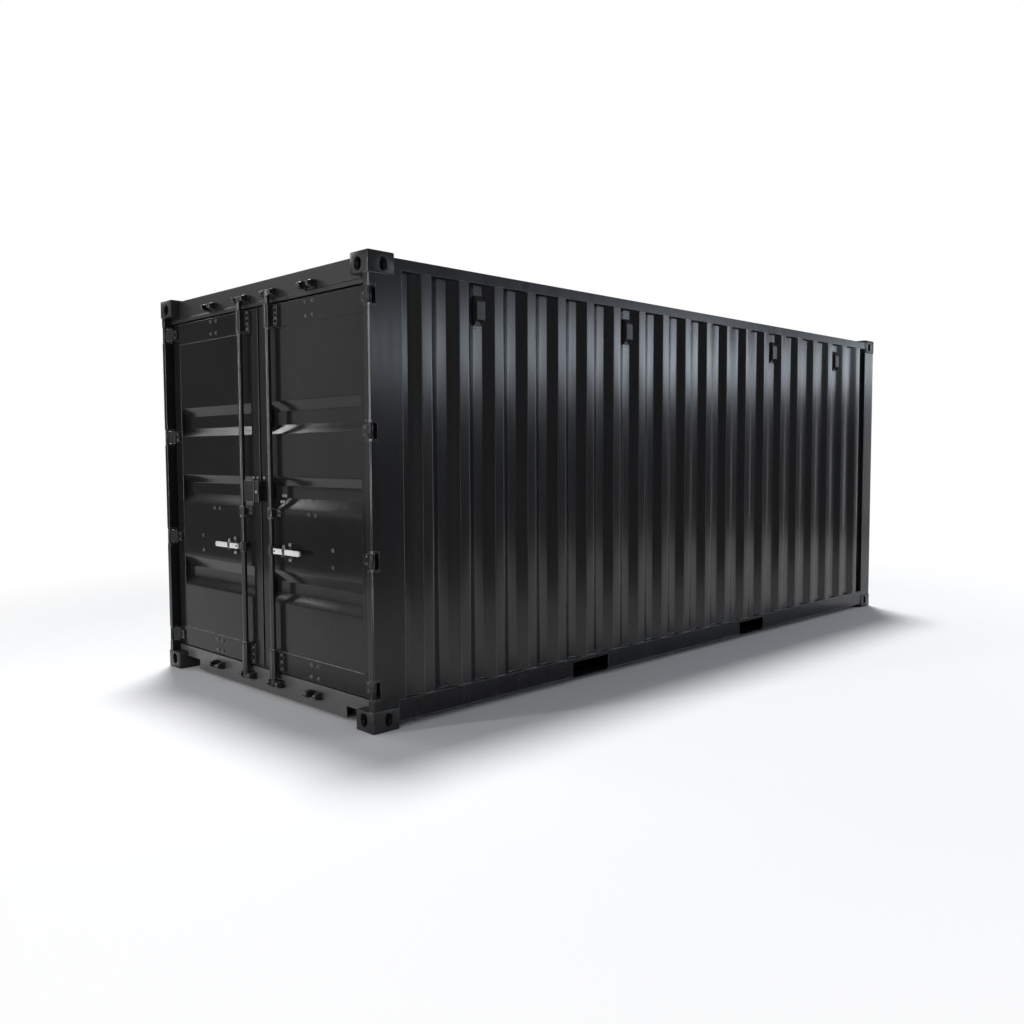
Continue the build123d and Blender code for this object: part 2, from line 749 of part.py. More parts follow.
def door_gasket():
    """Rubber strip round the edge of a leaf."""
    front = DOOR_FRONT + GASKET_SETBACK
    back = front + GASKET_DEPTH
    ring = block(
        front,
        back,
        DOOR_MEETING_EDGE - GASKET_MEETING,
        DOOR_HINGE_EDGE + GASKET,
        DOOR_FLOOR - GASKET,
        DOOR_TOP + GASKET,
    )
    return ring - block(front, back, DOOR_MEETING_EDGE, DOOR_HINGE_EDGE, DOOR_FLOOR, DOOR_TOP)


# Locking bar
BAR_X = -END + BAR_DEPTH
BAR_TOP = HEIGHT - BAR_TOP_DROP
GUIDES = (LOWER_GUIDE, MIDDLE_GUIDE, (DOOR_TOP - UPPER_GUIDE_LENGTH, DOOR_TOP))
KEEPER_HEIGHTS = (KEEPER_RISE, HEIGHT - KEEPER_DROP)


def bar_guide(floor, top):
    """Saddle that holds a bar to the door."""
    middle = (floor + top) / 2
    plate = block(
        DOOR_FRONT - GUIDE_PLATE,
        DOOR_FRONT,
        BAR_SIDE - GUIDE_PLATE_WIDTH / 2,
        BAR_SIDE + GUIDE_PLATE_WIDTH / 2,
        max(floor, DOOR_FLOOR),
        min(top, DOOR_TOP),
    )
    nose = BAR_X - GUIDE_RADIUS
    back = DOOR_FRONT - GUIDE_PLATE
    shoulder = GUIDE_RADIUS - GUIDE_CHAMFER
    outline = [
        (back, BAR_SIDE - GUIDE_RADIUS),
        (nose + GUIDE_CHAMFER, BAR_SIDE - GUIDE_RADIUS),
        (nose, BAR_SIDE - shoulder),
        (nose, BAR_SIDE + shoulder),
        (nose + GUIDE_CHAMFER, BAR_SIDE + GUIDE_RADIUS),
        (back, BAR_SIDE + GUIDE_RADIUS),
    ]
    throat = BAR_RADIUS + BAR_CLEARANCE
    saddle = prism_z(outline, floor, top)
    saddle -= block(BAR_X, back, BAR_SIDE - throat, BAR_SIDE + throat, floor, top)
    return plate + saddle - Pos(BAR_X, BAR_SIDE, middle) * Cylinder(throat, top - floor)


def cam(height):
    """Faceted barrel with a wing to each side that turns into its keeper."""
    quarter = [
        (CAM_THICKNESS / 2, CAM_REACH),
        (CAM_THICKNESS / 2, CAM_BARREL),
        (CAM_BARREL, CAM_SHOULDER),
    ]
    half = quarter + [(x, -y) for x, y in quarter[::-1]]
    outline = half + [(-x, -y) for x, y in half]
    return Pos(BAR_X, BAR_SIDE, height - CAM_HEIGHT / 2) * prism_z(outline, 0, CAM_HEIGHT)


def lock_bar():
    """Bar with a cam at each end and the hub of its handle."""
    middle = (BAR_FLOOR + BAR_TOP) / 2
    bar = Pos(BAR_X, BAR_SIDE, middle) * Cylinder(BAR_RADIUS, BAR_TOP - BAR_FLOOR)
    for height in KEEPER_HEIGHTS:
        bar += cam(height)
    hub = extrude(RegularPolygon(HUB_RADIUS, HUB_SIDES), amount=HUB_HEIGHT)
    bar += Pos(BAR_X, BAR_SIDE, HANDLE_HEIGHT - HUB_HEIGHT / 2) * hub
    lug_front = HANDLE_BACK + HANDLE_GAP
    half = HUB_LUG_HEIGHT / 2
    bar += block(
        lug_front,
        lug_front + HUB_LUG_THICKNESS,
        BAR_SIDE,
        BAR_SIDE + HUB_LUG_REACH,
        HANDLE_HEIGHT - half,
        HANDLE_HEIGHT + half,
    )
    pin_front = -END + HANDLE_FRONT - HANDLE_PIN_PROUD
    pin = Cylinder(HANDLE_PIN_RADIUS, lug_front - pin_front, rotation=(0, 90, 0))
    bar += Pos((pin_front + lug_front) / 2, BAR_SIDE + HANDLE_PIVOT, HANDLE_HEIGHT) * pin
    return bar


# Handle and its catch
HANDLE_BACK = -END + HANDLE_FRONT + HANDLE_THICKNESS


def handle():
    """Flat bar that lifts on the hub of its locking bar."""
    reach = HANDLE_TIP - BAR_SIDE - HANDLE_PIVOT - HANDLE_WIDTH / 2
    bar = Pos((reach - HANDLE_HEEL) / 2, 0) * Rectangle(reach + HANDLE_HEEL, HANDLE_WIDTH)
    bar += Pos(reach, 0) * Circle(HANDLE_WIDTH / 2)
    bar -= Circle(HANDLE_PIN_RADIUS + PIN_CLEARANCE)
    solid = extrude(Plane.YZ * bar, amount=HANDLE_THICKNESS)
    return Pos(-END + HANDLE_FRONT, BAR_SIDE + HANDLE_PIVOT, HANDLE_HEIGHT) * solid


def handle_catch():
    """Plate with a block and a ledge under the handle."""
    lo = CATCH_SIDE - CATCH_WIDTH / 2
    hi = CATCH_SIDE + CATCH_WIDTH / 2
    plate_front = DOOR_FRONT - CATCH_PLATE
    catch = block(plate_front, DOOR_FRONT, lo, hi, HANDLE_HEIGHT - CATCH_DROP, HANDLE_HEIGHT + CATCH_RISE)
    ledge_top = HANDLE_HEIGHT - HANDLE_WIDTH / 2 - CATCH_CLEARANCE
    stop = HANDLE_BACK + CATCH_CLEARANCE
    catch += block(stop, plate_front, lo, hi, ledge_top, HANDLE_HEIGHT + HANDLE_WIDTH / 2)
    catch += block(-END + HANDLE_FRONT, plate_front, lo, hi, ledge_top - CATCH_LEDGE, ledge_top)
    return catch


# Lock box halves
def lock_box(inner, outer):
    """Cover with a front, a top and one side, open below and towards the meeting line."""
    front = -END + LOCK_BOX_FRONT
    cover = block(front, DOOR_FRONT, inner, outer, LOCK_BOX_FLOOR, LOCK_BOX_TOP)
    wall = LOCK_BOX_WALL
    return cover - block(
        front + wall, DOOR_FRONT, inner, outer - wall, LOCK_BOX_FLOOR, LOCK_BOX_TOP - wall
    )


# The nodes
def build_nodes():
    """Every node of the container by name."""
    nodes = {}
    lower_fittings = four_corners(corner_fitting())
    upper = Pos(0, 0, HEIGHT) * mirror(corner_fitting(), about=Plane.XY)
    nodes["lower_corner_fittings"] = group(lower_fittings)
    nodes["upper_corner_fittings"] = group(four_corners(upper))

    paired = {
        "door_post": door_post(),
        "blind_post": blind_post(),
        "top_side_rail": top_side_rail(),
        "bottom_side_rail": bottom_side_rail(),
        "side_wall": side_wall(),
        "ventilators": group([ventilator(recess) for recess in VENT_RECESSES]),
        "hinge_brackets": group([hinge_bracket(height) for height in HINGE_HEIGHTS]),
        "hinge_blades": group([hinge_blade(height) for height in HINGE_HEIGHTS]),
        "door_frame": door_frame(),
        "door_panel": door_panel(),
        "door_gasket": door_gasket(),
        "bar_guides": group([bar_guide(floor, top) for floor, top in GUIDES]),
        "handle_catch": handle_catch(),
        "lock_bar": lock_bar(),
        "handle": handle(),
    }
    for name, shape in paired.items():
        nodes["left_" + name] = shape
        nodes["right_" + name] = other_side(shape)

    nodes["left_lock_box"] = lock_box(LOCK_BOX_GAP, LOCK_BOX_LEFT)
    nodes["right_lock_box"] = other_side(lock_box(LOCK_BOX_GAP, LOCK_BOX_RIGHT))

    lower_keepers = []
    upper_keepers = []
    for side in (BAR_SIDE, KEEPER_SPARE_SIDE):
        low = bar_keeper(side, KEEPER_HEIGHTS[0])
        high = bar_keeper(side, KEEPER_HEIGHTS[1])
        lower_keepers.extend([low, other_side(low)])
        upper_keepers.extend([high, other_side(high)])
    nodes["lower_bar_keepers"] = group(lower_keepers)
    nodes["upper_bar_keepers"] = group(upper_keepers)

    nodes["door_header"] = door_header()
    nodes["door_sill"] = door_sill()
    nodes["blind_wall"] = blind_wall()
    nodes["blind_top_rail"] = blind_top_rail()
    nodes["blind_sill"] = blind_sill()
    nodes["roof"] = roof()
    nodes["floor_boards"] = floor_boards()
    nodes["cross_members"] = cross_members()
    nodes["fork_pockets"] = group([fork_pocket(centre) for centre in FORK_CENTRES])
    return nodes


os.makedirs("parts", exist_ok=True)
for node_name, node_shape in build_nodes().items():
    export_step(node_shape, "parts/" + node_name + ".step")
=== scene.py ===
import math

import bmesh
import bpy
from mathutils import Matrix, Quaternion, Vector


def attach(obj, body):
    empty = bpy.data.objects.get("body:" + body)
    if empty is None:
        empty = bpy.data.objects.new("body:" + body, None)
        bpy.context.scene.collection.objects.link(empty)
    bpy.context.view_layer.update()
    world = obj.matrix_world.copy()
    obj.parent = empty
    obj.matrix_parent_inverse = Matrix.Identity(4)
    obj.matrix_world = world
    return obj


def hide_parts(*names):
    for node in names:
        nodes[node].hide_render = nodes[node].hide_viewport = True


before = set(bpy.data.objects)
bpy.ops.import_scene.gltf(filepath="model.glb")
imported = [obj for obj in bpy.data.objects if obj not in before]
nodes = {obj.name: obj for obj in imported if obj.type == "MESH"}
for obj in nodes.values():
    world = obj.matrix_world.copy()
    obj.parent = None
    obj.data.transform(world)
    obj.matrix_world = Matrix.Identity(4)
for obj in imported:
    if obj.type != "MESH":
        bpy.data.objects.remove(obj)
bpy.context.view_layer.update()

# Values that the pieces share with the frame, in metres
BOTH_SIDES = ((1, "left"), (-1, "right"))
OUT_OF_DOOR = (-1, 0, 0)
UP = (0, 0, 1)
END = 3.029
SIDE = 1.219
HEIGHT = 2.591
WALL_FACE = 1.211
WALL_DEPTH = 0.036
WALL_PITCH = 0.281
WALL_OUTER_FLAT = 0.072
WALL_SLOPE = 0.068
WALL_RIBS = 20
WALL_FIRST_EDGE = -2.590
WALL_END = 2.851
WALL_FLOOR = 0.160
WALL_TOP = 2.505
SHEET = 0.002
DOOR_FRONT = -2.969
DOOR_LOWER_SEAM = 0.300
DOOR_TOP_SEAM = 2.280
PANEL_MEETING = 0.105
PANEL_HINGE = 1.057
TROUGHS = ((0.610, 0.665, 0.734, 0.805), (1.182, 1.252, 1.325, 1.378), (1.641, 1.697, 1.778, 1.840))
TROUGH_DEPTH = 0.036
FITTING = (0.178, 0.162, 0.118)
FITTING_FACE_WALL = 0.028
FITTING_BACK_WALL = 0.012
SLOT_CENTRE = (-2.9265, 1.1295)
HOLE_CENTRE = 0.067
VENT_MIDDLES = (-2.2045, -0.7995, 1.1675, 2.2915)
VENT_FLOOR = 2.265
VENT_TOP = 2.441
BAR_X = -3.004
BAR_SIDE = 0.168
GUIDE_FACE = DOOR_FRONT - 0.006
HANDLE_RISE = 0.930
HANDLE_FACE = -3.024
HANDLE_BACK = -3.012
CATCH_SIDE = 0.330
POST_SIDE = 1.215
POST_FRONT = -3.025
POST_BACK = -2.890
POST_INNER = 1.172
FIN_END = -2.803
HINGE_RISES = (0.2359, 0.9399, 1.6399, 2.3570)
HINGE_FACE = DOOR_FRONT - 0.010


# Shader helpers
def make_group(name, inputs, outputs):
    """Empty shader group with named value sockets."""
    tree = bpy.data.node_groups.new(name, "ShaderNodeTree")
    for label, value in inputs:
        socket = tree.interface.new_socket(label, in_out="INPUT", socket_type="NodeSocketFloat")
        socket.default_value = value
    for label in outputs:
        tree.interface.new_socket(label, in_out="OUTPUT", socket_type="NodeSocketFloat")
    return tree, tree.nodes.new("NodeGroupInput"), tree.nodes.new("NodeGroupOutput")


def feed(tree, entry, value):
    """Give an input a link from a socket, or else a colour or a number."""
    if isinstance(value, bpy.types.NodeSocket):
        tree.links.new(value, entry)
    elif isinstance(value, tuple):
        entry.default_value = (*value, 1.0)
    else:
        entry.default_value = value


def math_node(tree, operation, first, second):
    """Math node whose inputs are sockets or numbers."""
    node = tree.nodes.new("ShaderNodeMath")
    node.operation = operation
    feed(tree, node.inputs[0], first)
    feed(tree, node.inputs[1], second)
    return node.outputs[0]


def ramp_node(tree, value, low, high, to_low=0.0, to_high=1.0):
    """Clamped straight ramp of a value."""
    node = tree.nodes.new("ShaderNodeMapRange")
    tree.links.new(value, node.inputs["Value"])
    for label, number in (("From Min", low), ("From Max", high), ("To Min", to_low), ("To Max", to_high)):
        node.inputs[label].default_value = number
    return node.outputs["Result"]


def noise_node(tree, place, scale, detail, roughness):
    """Noise over a place socket, with a fixed or linked scale."""
    node = tree.nodes.new("ShaderNodeTexNoise")
    for label, value in (("Vector", place), ("Scale", scale), ("Detail", detail), ("Roughness", roughness)):
        feed(tree, node.inputs[label], value)
    return node.outputs["Fac"]


def stretched(tree, place, scale):
    """A place socket, stretched along the axes."""
    node = tree.nodes.new("ShaderNodeMapping")
    node.inputs["Scale"].default_value = scale
    tree.links.new(place, node.inputs["Vector"])
    return node.outputs["Vector"]


def upward_part(tree, vector):
    """The upward part of a place or a direction."""
    node = tree.nodes.new("ShaderNodeSeparateXYZ")
    tree.links.new(vector, node.inputs["Vector"])
    return node.outputs["Z"]


def mix_colour(tree, factor, first, second):
    """Mix of two colours, each a socket or a colour."""
    node = tree.nodes.new("ShaderNodeMix")
    node.data_type = "RGBA"
    for index, value in ((0, factor), (6, first), (7, second)):
        feed(tree, node.inputs[index], value)
    return node.outputs[2]


def lay_over(tree, tone, mask, share, colour):
    """A colour laid over a tone where a mask is, by a share."""
    return mix_colour(tree, math_node(tree, "MULTIPLY", mask, share), tone, colour)


def toned(colour, share):
    """A darker or lighter tone of a colour."""
    return tuple(channel * share for channel in colour)


def coat(tree, shader, tone, gloss, height, strength, distance):
    """Give a shader its colour, its roughness and its fine relief."""
    tree.links.new(tone, shader.inputs["Base Color"])
    tree.links.new(gloss, shader.inputs["Roughness"])
    bump = tree.nodes.new("ShaderNodeBump")
    bump.inputs["Strength"].default_value = strength
    bump.inputs["Distance"].default_value = distance
    tree.links.new(height, bump.inputs["Height"])
    tree.links.new(bump.outputs["Normal"], shader.inputs["Normal"])


def place_group(tree, group, values):
    """A shader group placed in a material with its own values."""
    node = tree.nodes.new("ShaderNodeGroup")
    node.node_tree = group
    for label, value in values.items():
        node.inputs[label].default_value = value
    return node


def edge_wear_group():
    """Mask along sharp edges, broken up by noise."""
    tree, given, out = make_group("edge_wear", (("Width", 0.004), ("Breakup", 30.0)), ("Mask",))
    coordinate = tree.nodes.new("ShaderNodeTexCoord")
    geometry = tree.nodes.new("ShaderNodeNewGeometry")
    bevel = tree.nodes.new("ShaderNodeBevel")
    bevel.samples = 4
    tree.links.new(given.outputs["Width"], bevel.inputs["Radius"])
    dot = tree.nodes.new("ShaderNodeVectorMath")
    dot.operation = "DOT_PRODUCT"
    tree.links.new(bevel.outputs["Normal"], dot.inputs[0])
    tree.links.new(geometry.outputs["Normal"], dot.inputs[1])
    edge = ramp_node(tree, dot.outputs["Value"], 0.995, 0.90)
    breakup = noise_node(tree, coordinate.outputs["Object"], given.outputs["Breakup"], 5.0, 0.65)
    patches = ramp_node(tree, breakup, 0.40, 0.62)
    tree.links.new(math_node(tree, "MULTIPLY", edge, patches), out.inputs["Mask"])
    return tree


def mottle_group():
    """Slow drift of tone over a coat of paint, its upright streaks and its fine peel."""
    tree, given, out = make_group(
        "paint_mottle", (("Scale", 3.0), ("Peel Scale", 420.0)), ("Drift", "Streak", "Peel")
    )
    coordinate = tree.nodes.new("ShaderNodeTexCoord")
    place = coordinate.outputs["Object"]
    upright = stretched(tree, place, (7.0, 7.0, 0.55))
    for label, over, scale, detail, roughness in (
        ("Drift", place, "Scale", 4.0, 0.55),
        ("Streak", upright, "Scale", 3.0, 0.6),
        ("Peel", place, "Peel Scale", 1.0, 0.4),
    ):
        grain = noise_node(tree, over, given.outputs[scale], detail, roughness)
        tree.links.new(grain, out.inputs[label])
    return tree


SPLASH_HEIGHT = 0.55


def dust_group():
    """Mask of dust that settles on ledges and splashes up from the ground."""
    tree, given, out = make_group("settled_dust", (("Ledges", 0.5), ("Splash", 0.3)), ("Mask",))
    coordinate = tree.nodes.new("ShaderNodeTexCoord")
    geometry = tree.nodes.new("ShaderNodeNewGeometry")
    ledge = ramp_node(tree, upward_part(tree, geometry.outputs["Normal"]), 0.3, 1.0)
    ledge = math_node(tree, "MULTIPLY", ledge, given.outputs["Ledges"])
    low = ramp_node(tree, upward_part(tree, coordinate.outputs["Object"]), SPLASH_HEIGHT, 0.0)
    low = math_node(tree, "MULTIPLY", low, given.outputs["Splash"])
    specks = ramp_node(tree, noise_node(tree, coordinate.outputs["Object"], 14.0, 6.0, 0.7), 0.35, 0.75)
    total = math_node(tree, "MULTIPLY", math_node(tree, "ADD", ledge, low), specks)
    tree.links.new(total, out.inputs["Mask"])
    return tree


EDGE_WEAR = edge_wear_group()
MOTTLE = mottle_group()
DUST = dust_group()


# Finishes
def new_material(name):
    """Material with only a Principled shader and its output."""
    material = bpy.data.materials.new(name)
    material.use_nodes = True
    tree = material.node_tree
    return material, tree, tree.nodes["Principled BSDF"]


def drift_tone(tree, mottle, darker, lighter):
    """Colour that drifts between two tones."""
    return mix_colour(tree, ramp_node(tree, mottle.outputs["Drift"], 0.30, 0.70), darker, lighter)


DUST_TONE = (0.30, 0.29, 0.27)
DUST_DULLING = 0.25


def coated_metal(name, colour, worn, roughness, spread, specular, wear=0.35, peel=0.06, dust=0.10):
    """Painted steel with drift, peel, worn edges and a little dust."""
    material, tree, shader = new_material(name)
    mottle = place_group(tree, MOTTLE, {"Scale": 1.7, "Peel Scale": 260.0})
    edges = place_group(tree, EDGE_WEAR, {"Width": 0.004, "Breakup": 26.0})
    film = place_group(tree, DUST, {"Ledges": 0.6, "Splash": 0.35})
    tone = drift_tone(tree, mottle, toned(colour, 0.80), toned(colour, 1.22))
    tone = lay_over(tree, tone, edges.outputs["Mask"], wear, worn)
    tone = lay_over(tree, tone, film.outputs["Mask"], dust, DUST_TONE)
    gloss = ramp_node(tree, mottle.outputs["Streak"], 0.25, 0.75, roughness - spread, roughness + spread)
    dulling = math_node(tree, "MULTIPLY", film.outputs["Mask"], DUST_DULLING)
    gloss = math_node(tree, "ADD", gloss, dulling)
    coat(tree, shader, tone, gloss, mottle.outputs["Peel"], peel, 0.0006)
    shader.inputs["Specular IOR Level"].default_value = specular
    return material


BLACK = (0.0088, 0.0091, 0.0099)
DOOR_BLACK = (0.0110, 0.0114, 0.0120)
# Painted light: the header's black is set lighter than the other paint, a lit copy of it
BEAM_PAINTED_LIGHT_BLACK = (0.0200, 0.0204, 0.0210)
# Painted light: the sill's black is set far lighter than the other paint, standing in for light reflected
# onto it from the floor
SILL_PAINTED_LIGHT_BLACK = (0.0820, 0.0822, 0.0825)
CASTING_BLACK = (0.0125, 0.0129, 0.0138)
# Lighter black for bolts, rivets, collars and the lower door seam: a painted highlight for heads that catch
# the light
BOLT_HIGHLIGHT_BLACK = (0.060, 0.061, 0.063)
# Lighter black for rubbed edges: partly worn paint, partly a painted highlight along the edges
EDGE_WEAR_AND_HIGHLIGHT_BLACK = (0.0560, 0.0564, 0.0570)
# Lighter black along the outer folds of the long walls: a painted highlight on each fold
FOLD_HIGHLIGHT_BLACK = (0.0400, 0.0404, 0.0410)
VENT_BLACK = (0.020, 0.020, 0.021)
WORN = (0.16, 0.16, 0.16)
WORN_CASTING = (0.2, 0.2, 0.2)
WORN_GEAR = (0.3, 0.3, 0.3)
WORN_BOLT = (0.34, 0.34, 0.34)
WORN_VENT = (0.06, 0.06, 0.06)
wall_paint = coated_metal("black_wall_paint", BLACK, WORN, 0.19, 0.03, 0.38)
door_paint = coated_metal("black_door_paint", DOOR_BLACK, WORN, 0.14, 0.02, 0.15)
frame_paint = coated_metal("black_frame_paint", BLACK, WORN, 0.22, 0.04, 0.26, wear=0.55)
# Painted light on the door header: a lighter copy of the black paint
beam_painted_light_paint = coated_metal("black_beam_paint", BEAM_PAINTED_LIGHT_BLACK, WORN, 0.36, 0.02, 0.36, wear=0.55)
# Painted light on the sill: a lighter copy of the black paint
sill_painted_light_paint = coated_metal("black_sill_paint", SILL_PAINTED_LIGHT_BLACK, WORN, 0.28, 0.02, 0.50, wear=0.6)
hinge_paint = coated_metal("black_hinge_paint", BLACK, WORN_GEAR, 0.20, 0.05, 0.28, wear=0.7)
fitting_paint = coated_metal(
    "black_casting_paint", CASTING_BLACK, WORN_CASTING, 0.35, 0.08, 0.40, wear=0.7, peel=0.25
)
gear_paint = coated_metal("black_locking_gear_paint", BLACK, WORN_GEAR, 0.18, 0.015, 0.50, wear=0.7)
# Painted highlight: bolt heads, rivets, collars and the lower door seam are set lighter than the black paint,
# with worn edges
bolt_highlight_paint = coated_metal("black_bolt_paint", BOLT_HIGHLIGHT_BLACK, WORN_BOLT, 0.26, 0.06, 0.55, wear=0.8)
# Rubbed paint and a painted highlight on rounded edges, horn rims, rail lips and weld beads
edge_wear_and_highlight_paint = coated_metal(
    "black_rubbed_edge_and_painted_highlight", EDGE_WEAR_AND_HIGHLIGHT_BLACK, WORN_CASTING, 0.22, 0.02, 0.60, wear=0.4, dust=0.05
)
# Painted highlight along the outer folds of the long walls
fold_highlight_paint = coated_metal("black_fold_painted_highlight", FOLD_HIGHLIGHT_BLACK, WORN, 0.20, 0.02, 0.38)
vent_plastic = coated_metal("black_vent_plastic", VENT_BLACK, WORN_VENT, 0.42, 0.06, 0.4)

WORN_ZINC = (0.55, 0.55, 0.54)
ZINC_SPREAD = 0.08


def zinc_plate(name, colour, roughness):
    """Bright plated steel with a faint spangle."""
    material, tree, shader = new_material(name)
    mottle = place_group(tree, MOTTLE, {"Scale": 24.0, "Peel Scale": 500.0})
    edges = place_group(tree, EDGE_WEAR, {"Width": 0.002, "Breakup": 60.0})
    tone = drift_tone(tree, mottle, toned(colour, 0.82), colour)
    tone = lay_over(tree, tone, edges.outputs["Mask"], 0.5, WORN_ZINC)
    low, high = roughness - ZINC_SPREAD, roughness + ZINC_SPREAD
    gloss = ramp_node(tree, mottle.outputs["Streak"], 0.3, 0.7, low, high)
    coat(tree, shader, tone, gloss, mottle.outputs["Peel"], 0.08, 0.0004)
    shader.inputs["Metallic"].default_value = 0.35
    return material


zinc_handle = zinc_plate("zinc_handle_plate", (0.86, 0.86, 0.85), 0.42)
zinc_bolt = zinc_plate("zinc_bolt_plate", (0.42, 0.43, 0.44), 0.34)

RUBBER_DARK = (0.010, 0.010, 0.010)
RUBBER_LIGHT = (0.020, 0.020, 0.020)
RUBBER_DUST = (0.20, 0.19, 0.18)


def rubber_seal_material():
    """Matt rubber with fine grain."""
    material, tree, shader = new_material("rubber_seal")
    mottle = place_group(tree, MOTTLE, {"Scale": 9.0, "Peel Scale": 700.0})
    film = place_group(tree, DUST, {"Ledges": 0.6, "Splash": 0.4})
    tone = drift_tone(tree, mottle, RUBBER_DARK, RUBBER_LIGHT)
    tone = lay_over(tree, tone, film.outputs["Mask"], 0.2, RUBBER_DUST)
    gloss = ramp_node(tree, mottle.outputs["Streak"], 0.3, 0.7, 0.60, 0.80)
    coat(tree, shader, tone, gloss, mottle.outputs["Peel"], 0.2, 0.0004)
    return material


GRAIN_DARK = (0.20, 0.115, 0.060)
GRAIN_LIGHT = (0.36, 0.235, 0.135)
JOINT_BROWN = (0.05, 0.032, 0.02)
SCUFF_BROWN = (0.14, 0.09, 0.055)
PLYWOOD_SHEETS = {"Scale": 1.0, "Brick Width": 2.4, "Row Height": 1.163, "Mortar Size": 0.002}


def plywood_material():
    """Plywood sheets laid across the floor, with grain, joints and scuffs."""
    material, tree, shader = new_material("plywood_floor")
    mottle = place_group(tree, MOTTLE, {"Scale": 2.5, "Peel Scale": 320.0})
    coordinate = tree.nodes.new("ShaderNodeTexCoord")
    place = coordinate.outputs["Object"]
    grain = noise_node(tree, stretched(tree, place, (1.2, 26.0, 1.0)), 4.0, 8.0, 0.7)
    tone = mix_colour(tree, ramp_node(tree, grain, 0.3, 0.7), GRAIN_DARK, GRAIN_LIGHT)
    joints = tree.nodes.new("ShaderNodeTexBrick")
    tree.links.new(place, joints.inputs["Vector"])
    for label, number in PLYWOOD_SHEETS.items():
        joints.inputs[label].default_value = number
    tone = mix_colour(tree, joints.outputs["Fac"], tone, JOINT_BROWN)
    scuffs = ramp_node(tree, mottle.outputs["Drift"], 0.55, 0.8, 0.0, 0.5)
    tone = mix_colour(tree, scuffs, tone, SCUFF_BROWN)
    coat(tree, shader, tone, ramp_node(tree, grain, 0.3, 0.7, 0.72, 0.5), grain, 0.3, 0.0008)
    return material


rubber_seal = rubber_seal_material()
plywood = plywood_material()

# Finish of every node of the frame. The first row with a word that is in the node's name counts.
NODE_FINISHES = (
    (("gasket",), rubber_seal),
    (("floor_boards",), plywood),
    (("ventilators",), vent_plastic),
    (("corner_fittings",), fitting_paint),
    (("door_header",), beam_painted_light_paint),
    (("door_sill",), sill_painted_light_paint),
    (("hinge_",), hinge_paint),
    (("lock_bar", "bar_guides", "keepers", "catch", "lock_box"), gear_paint),
    (("handle",), zinc_handle),
    (("door_frame", "door_panel"), door_paint),
    (("wall",), wall_paint),
)


def has_word(name, words):
    """Whether a node's name has one of the words in it."""
    return any(word in name for word in words)


def node_finish(name):
    """Material of a frame node by what it is."""
    for words, finish in NODE_FINISHES:
        if has_word(name, words):
            return finish
    return frame_paint


def paint_nodes():
    """Give every frame node its material."""
    for name, node in nodes.items():
        node.data.materials.clear()
        node.data.materials.append(node_finish(name))


paint_nodes()

# Width and steps of the rounded edges. The first row that fits the node's name counts.
EDGE_ROUNDS = (
    (("cross_members", "fork_pockets"), 0.002, 1),
    (("catch", "bar_guides", "hinge_blades"), 0.002, 2),
    (("roof", "lock_box", "hinge_brackets"), 0.003, 2),
    (("side_rail", "blind_post", "blind_top_rail", "blind_sill"), 0.004, 2),
    (("door_header", "ventilators", "handle"), 0.004, 3),
    (("door_post", "door_frame"), 0.0045, 3),
    (("door_sill",), 0.007, 3),
)
# Nodes whose rounded edges take the lighter edge paint: partly rubbed paint, partly a painted highlight
RUBBED_AND_HIGHLIGHTED = ("door_post", "door_sill", "door_frame", "lock_box", "bar_guides", "hinge_",
          "blind_post", "blind_sill", "side_rail", "blind_top_rail")


def add_bevel(piece, name, width, segments, angle):
    """Modifier that rounds the edges sharper than an angle."""
    bevel = piece.modifiers.new(name, "BEVEL")
    bevel.width = width
    bevel.segments = segments
    bevel.limit_method = "ANGLE"
    bevel.angle_limit = math.radians(angle)
    bevel.harden_normals = True
    return bevel


def round_edges(piece, width, segments):
    """Modifiers that round a piece's sharp edges."""
    weld = piece.modifiers.new("join", "WELD")
    weld.merge_threshold = 0.00005
    flat = piece.modifiers.new("flat", "DECIMATE")
    flat.decimate_type = "DISSOLVE"
    flat.angle_limit = math.radians(0.5)
    return add_bevel(piece, "round", width, segments, 35)


def round_nodes():
    """Round the edges of the frame nodes that stay in view, and give the rounded edges of the handled ones
    the lighter edge paint: rubbed paint and a painted highlight.
    """
    for name, node in nodes.items():
        for words, width, segments in EDGE_ROUNDS:
            if has_word(name, words):
                bevel = round_edges(node, width, segments)
                if has_word(name, RUBBED_AND_HIGHLIGHTED):
                    node.data.materials.append(edge_wear_and_highlight_paint)
                    bevel.material = 1
                break


round_nodes()


# Objects from built meshes
def place_object(name, data):
    """Object in the scene for a mesh, a lamp or a camera."""
    item = bpy.data.objects.new(name, data)
    bpy.context.scene.collection.objects.link(item)
    return item


def shape_object(name, build):
    """Plain object from a built mesh."""
    mesh = bpy.data.meshes.new(name)
    build.to_mesh(mesh)
    build.free()
    return place_object(name, mesh)


def smooth_object(name, build, crease):
    """Object from a built mesh, smooth up to the angle of a crease."""
    bmesh.ops.recalc_face_normals(build, faces=build.faces)
    for face in build.faces:
        face.smooth = True
    for edge in build.edges:
        edge.smooth = edge.calc_face_angle(0.0) < math.radians(crease)
    return shape_object(name, build)


def join_rows(build, first, second):
    """Strip of faces between two rows of points."""
    for index in range(len(first) - 1):
        build.faces.new((first[index], first[index + 1], second[index + 1], second[index]))


def join_rings(build, first, second):
    """Band of faces between two closed rings of points."""
    join_rows(build, first + first[:1], second + second[:1])


def close_rings(build, rings):
    """Bands of faces along rings of points, with both ends closed."""
    for first, second in zip(rings, rings[1:]):
        join_rings(build, first, second)
    build.faces.new(list(reversed(rings[0])))
    build.faces.new(rings[-1])


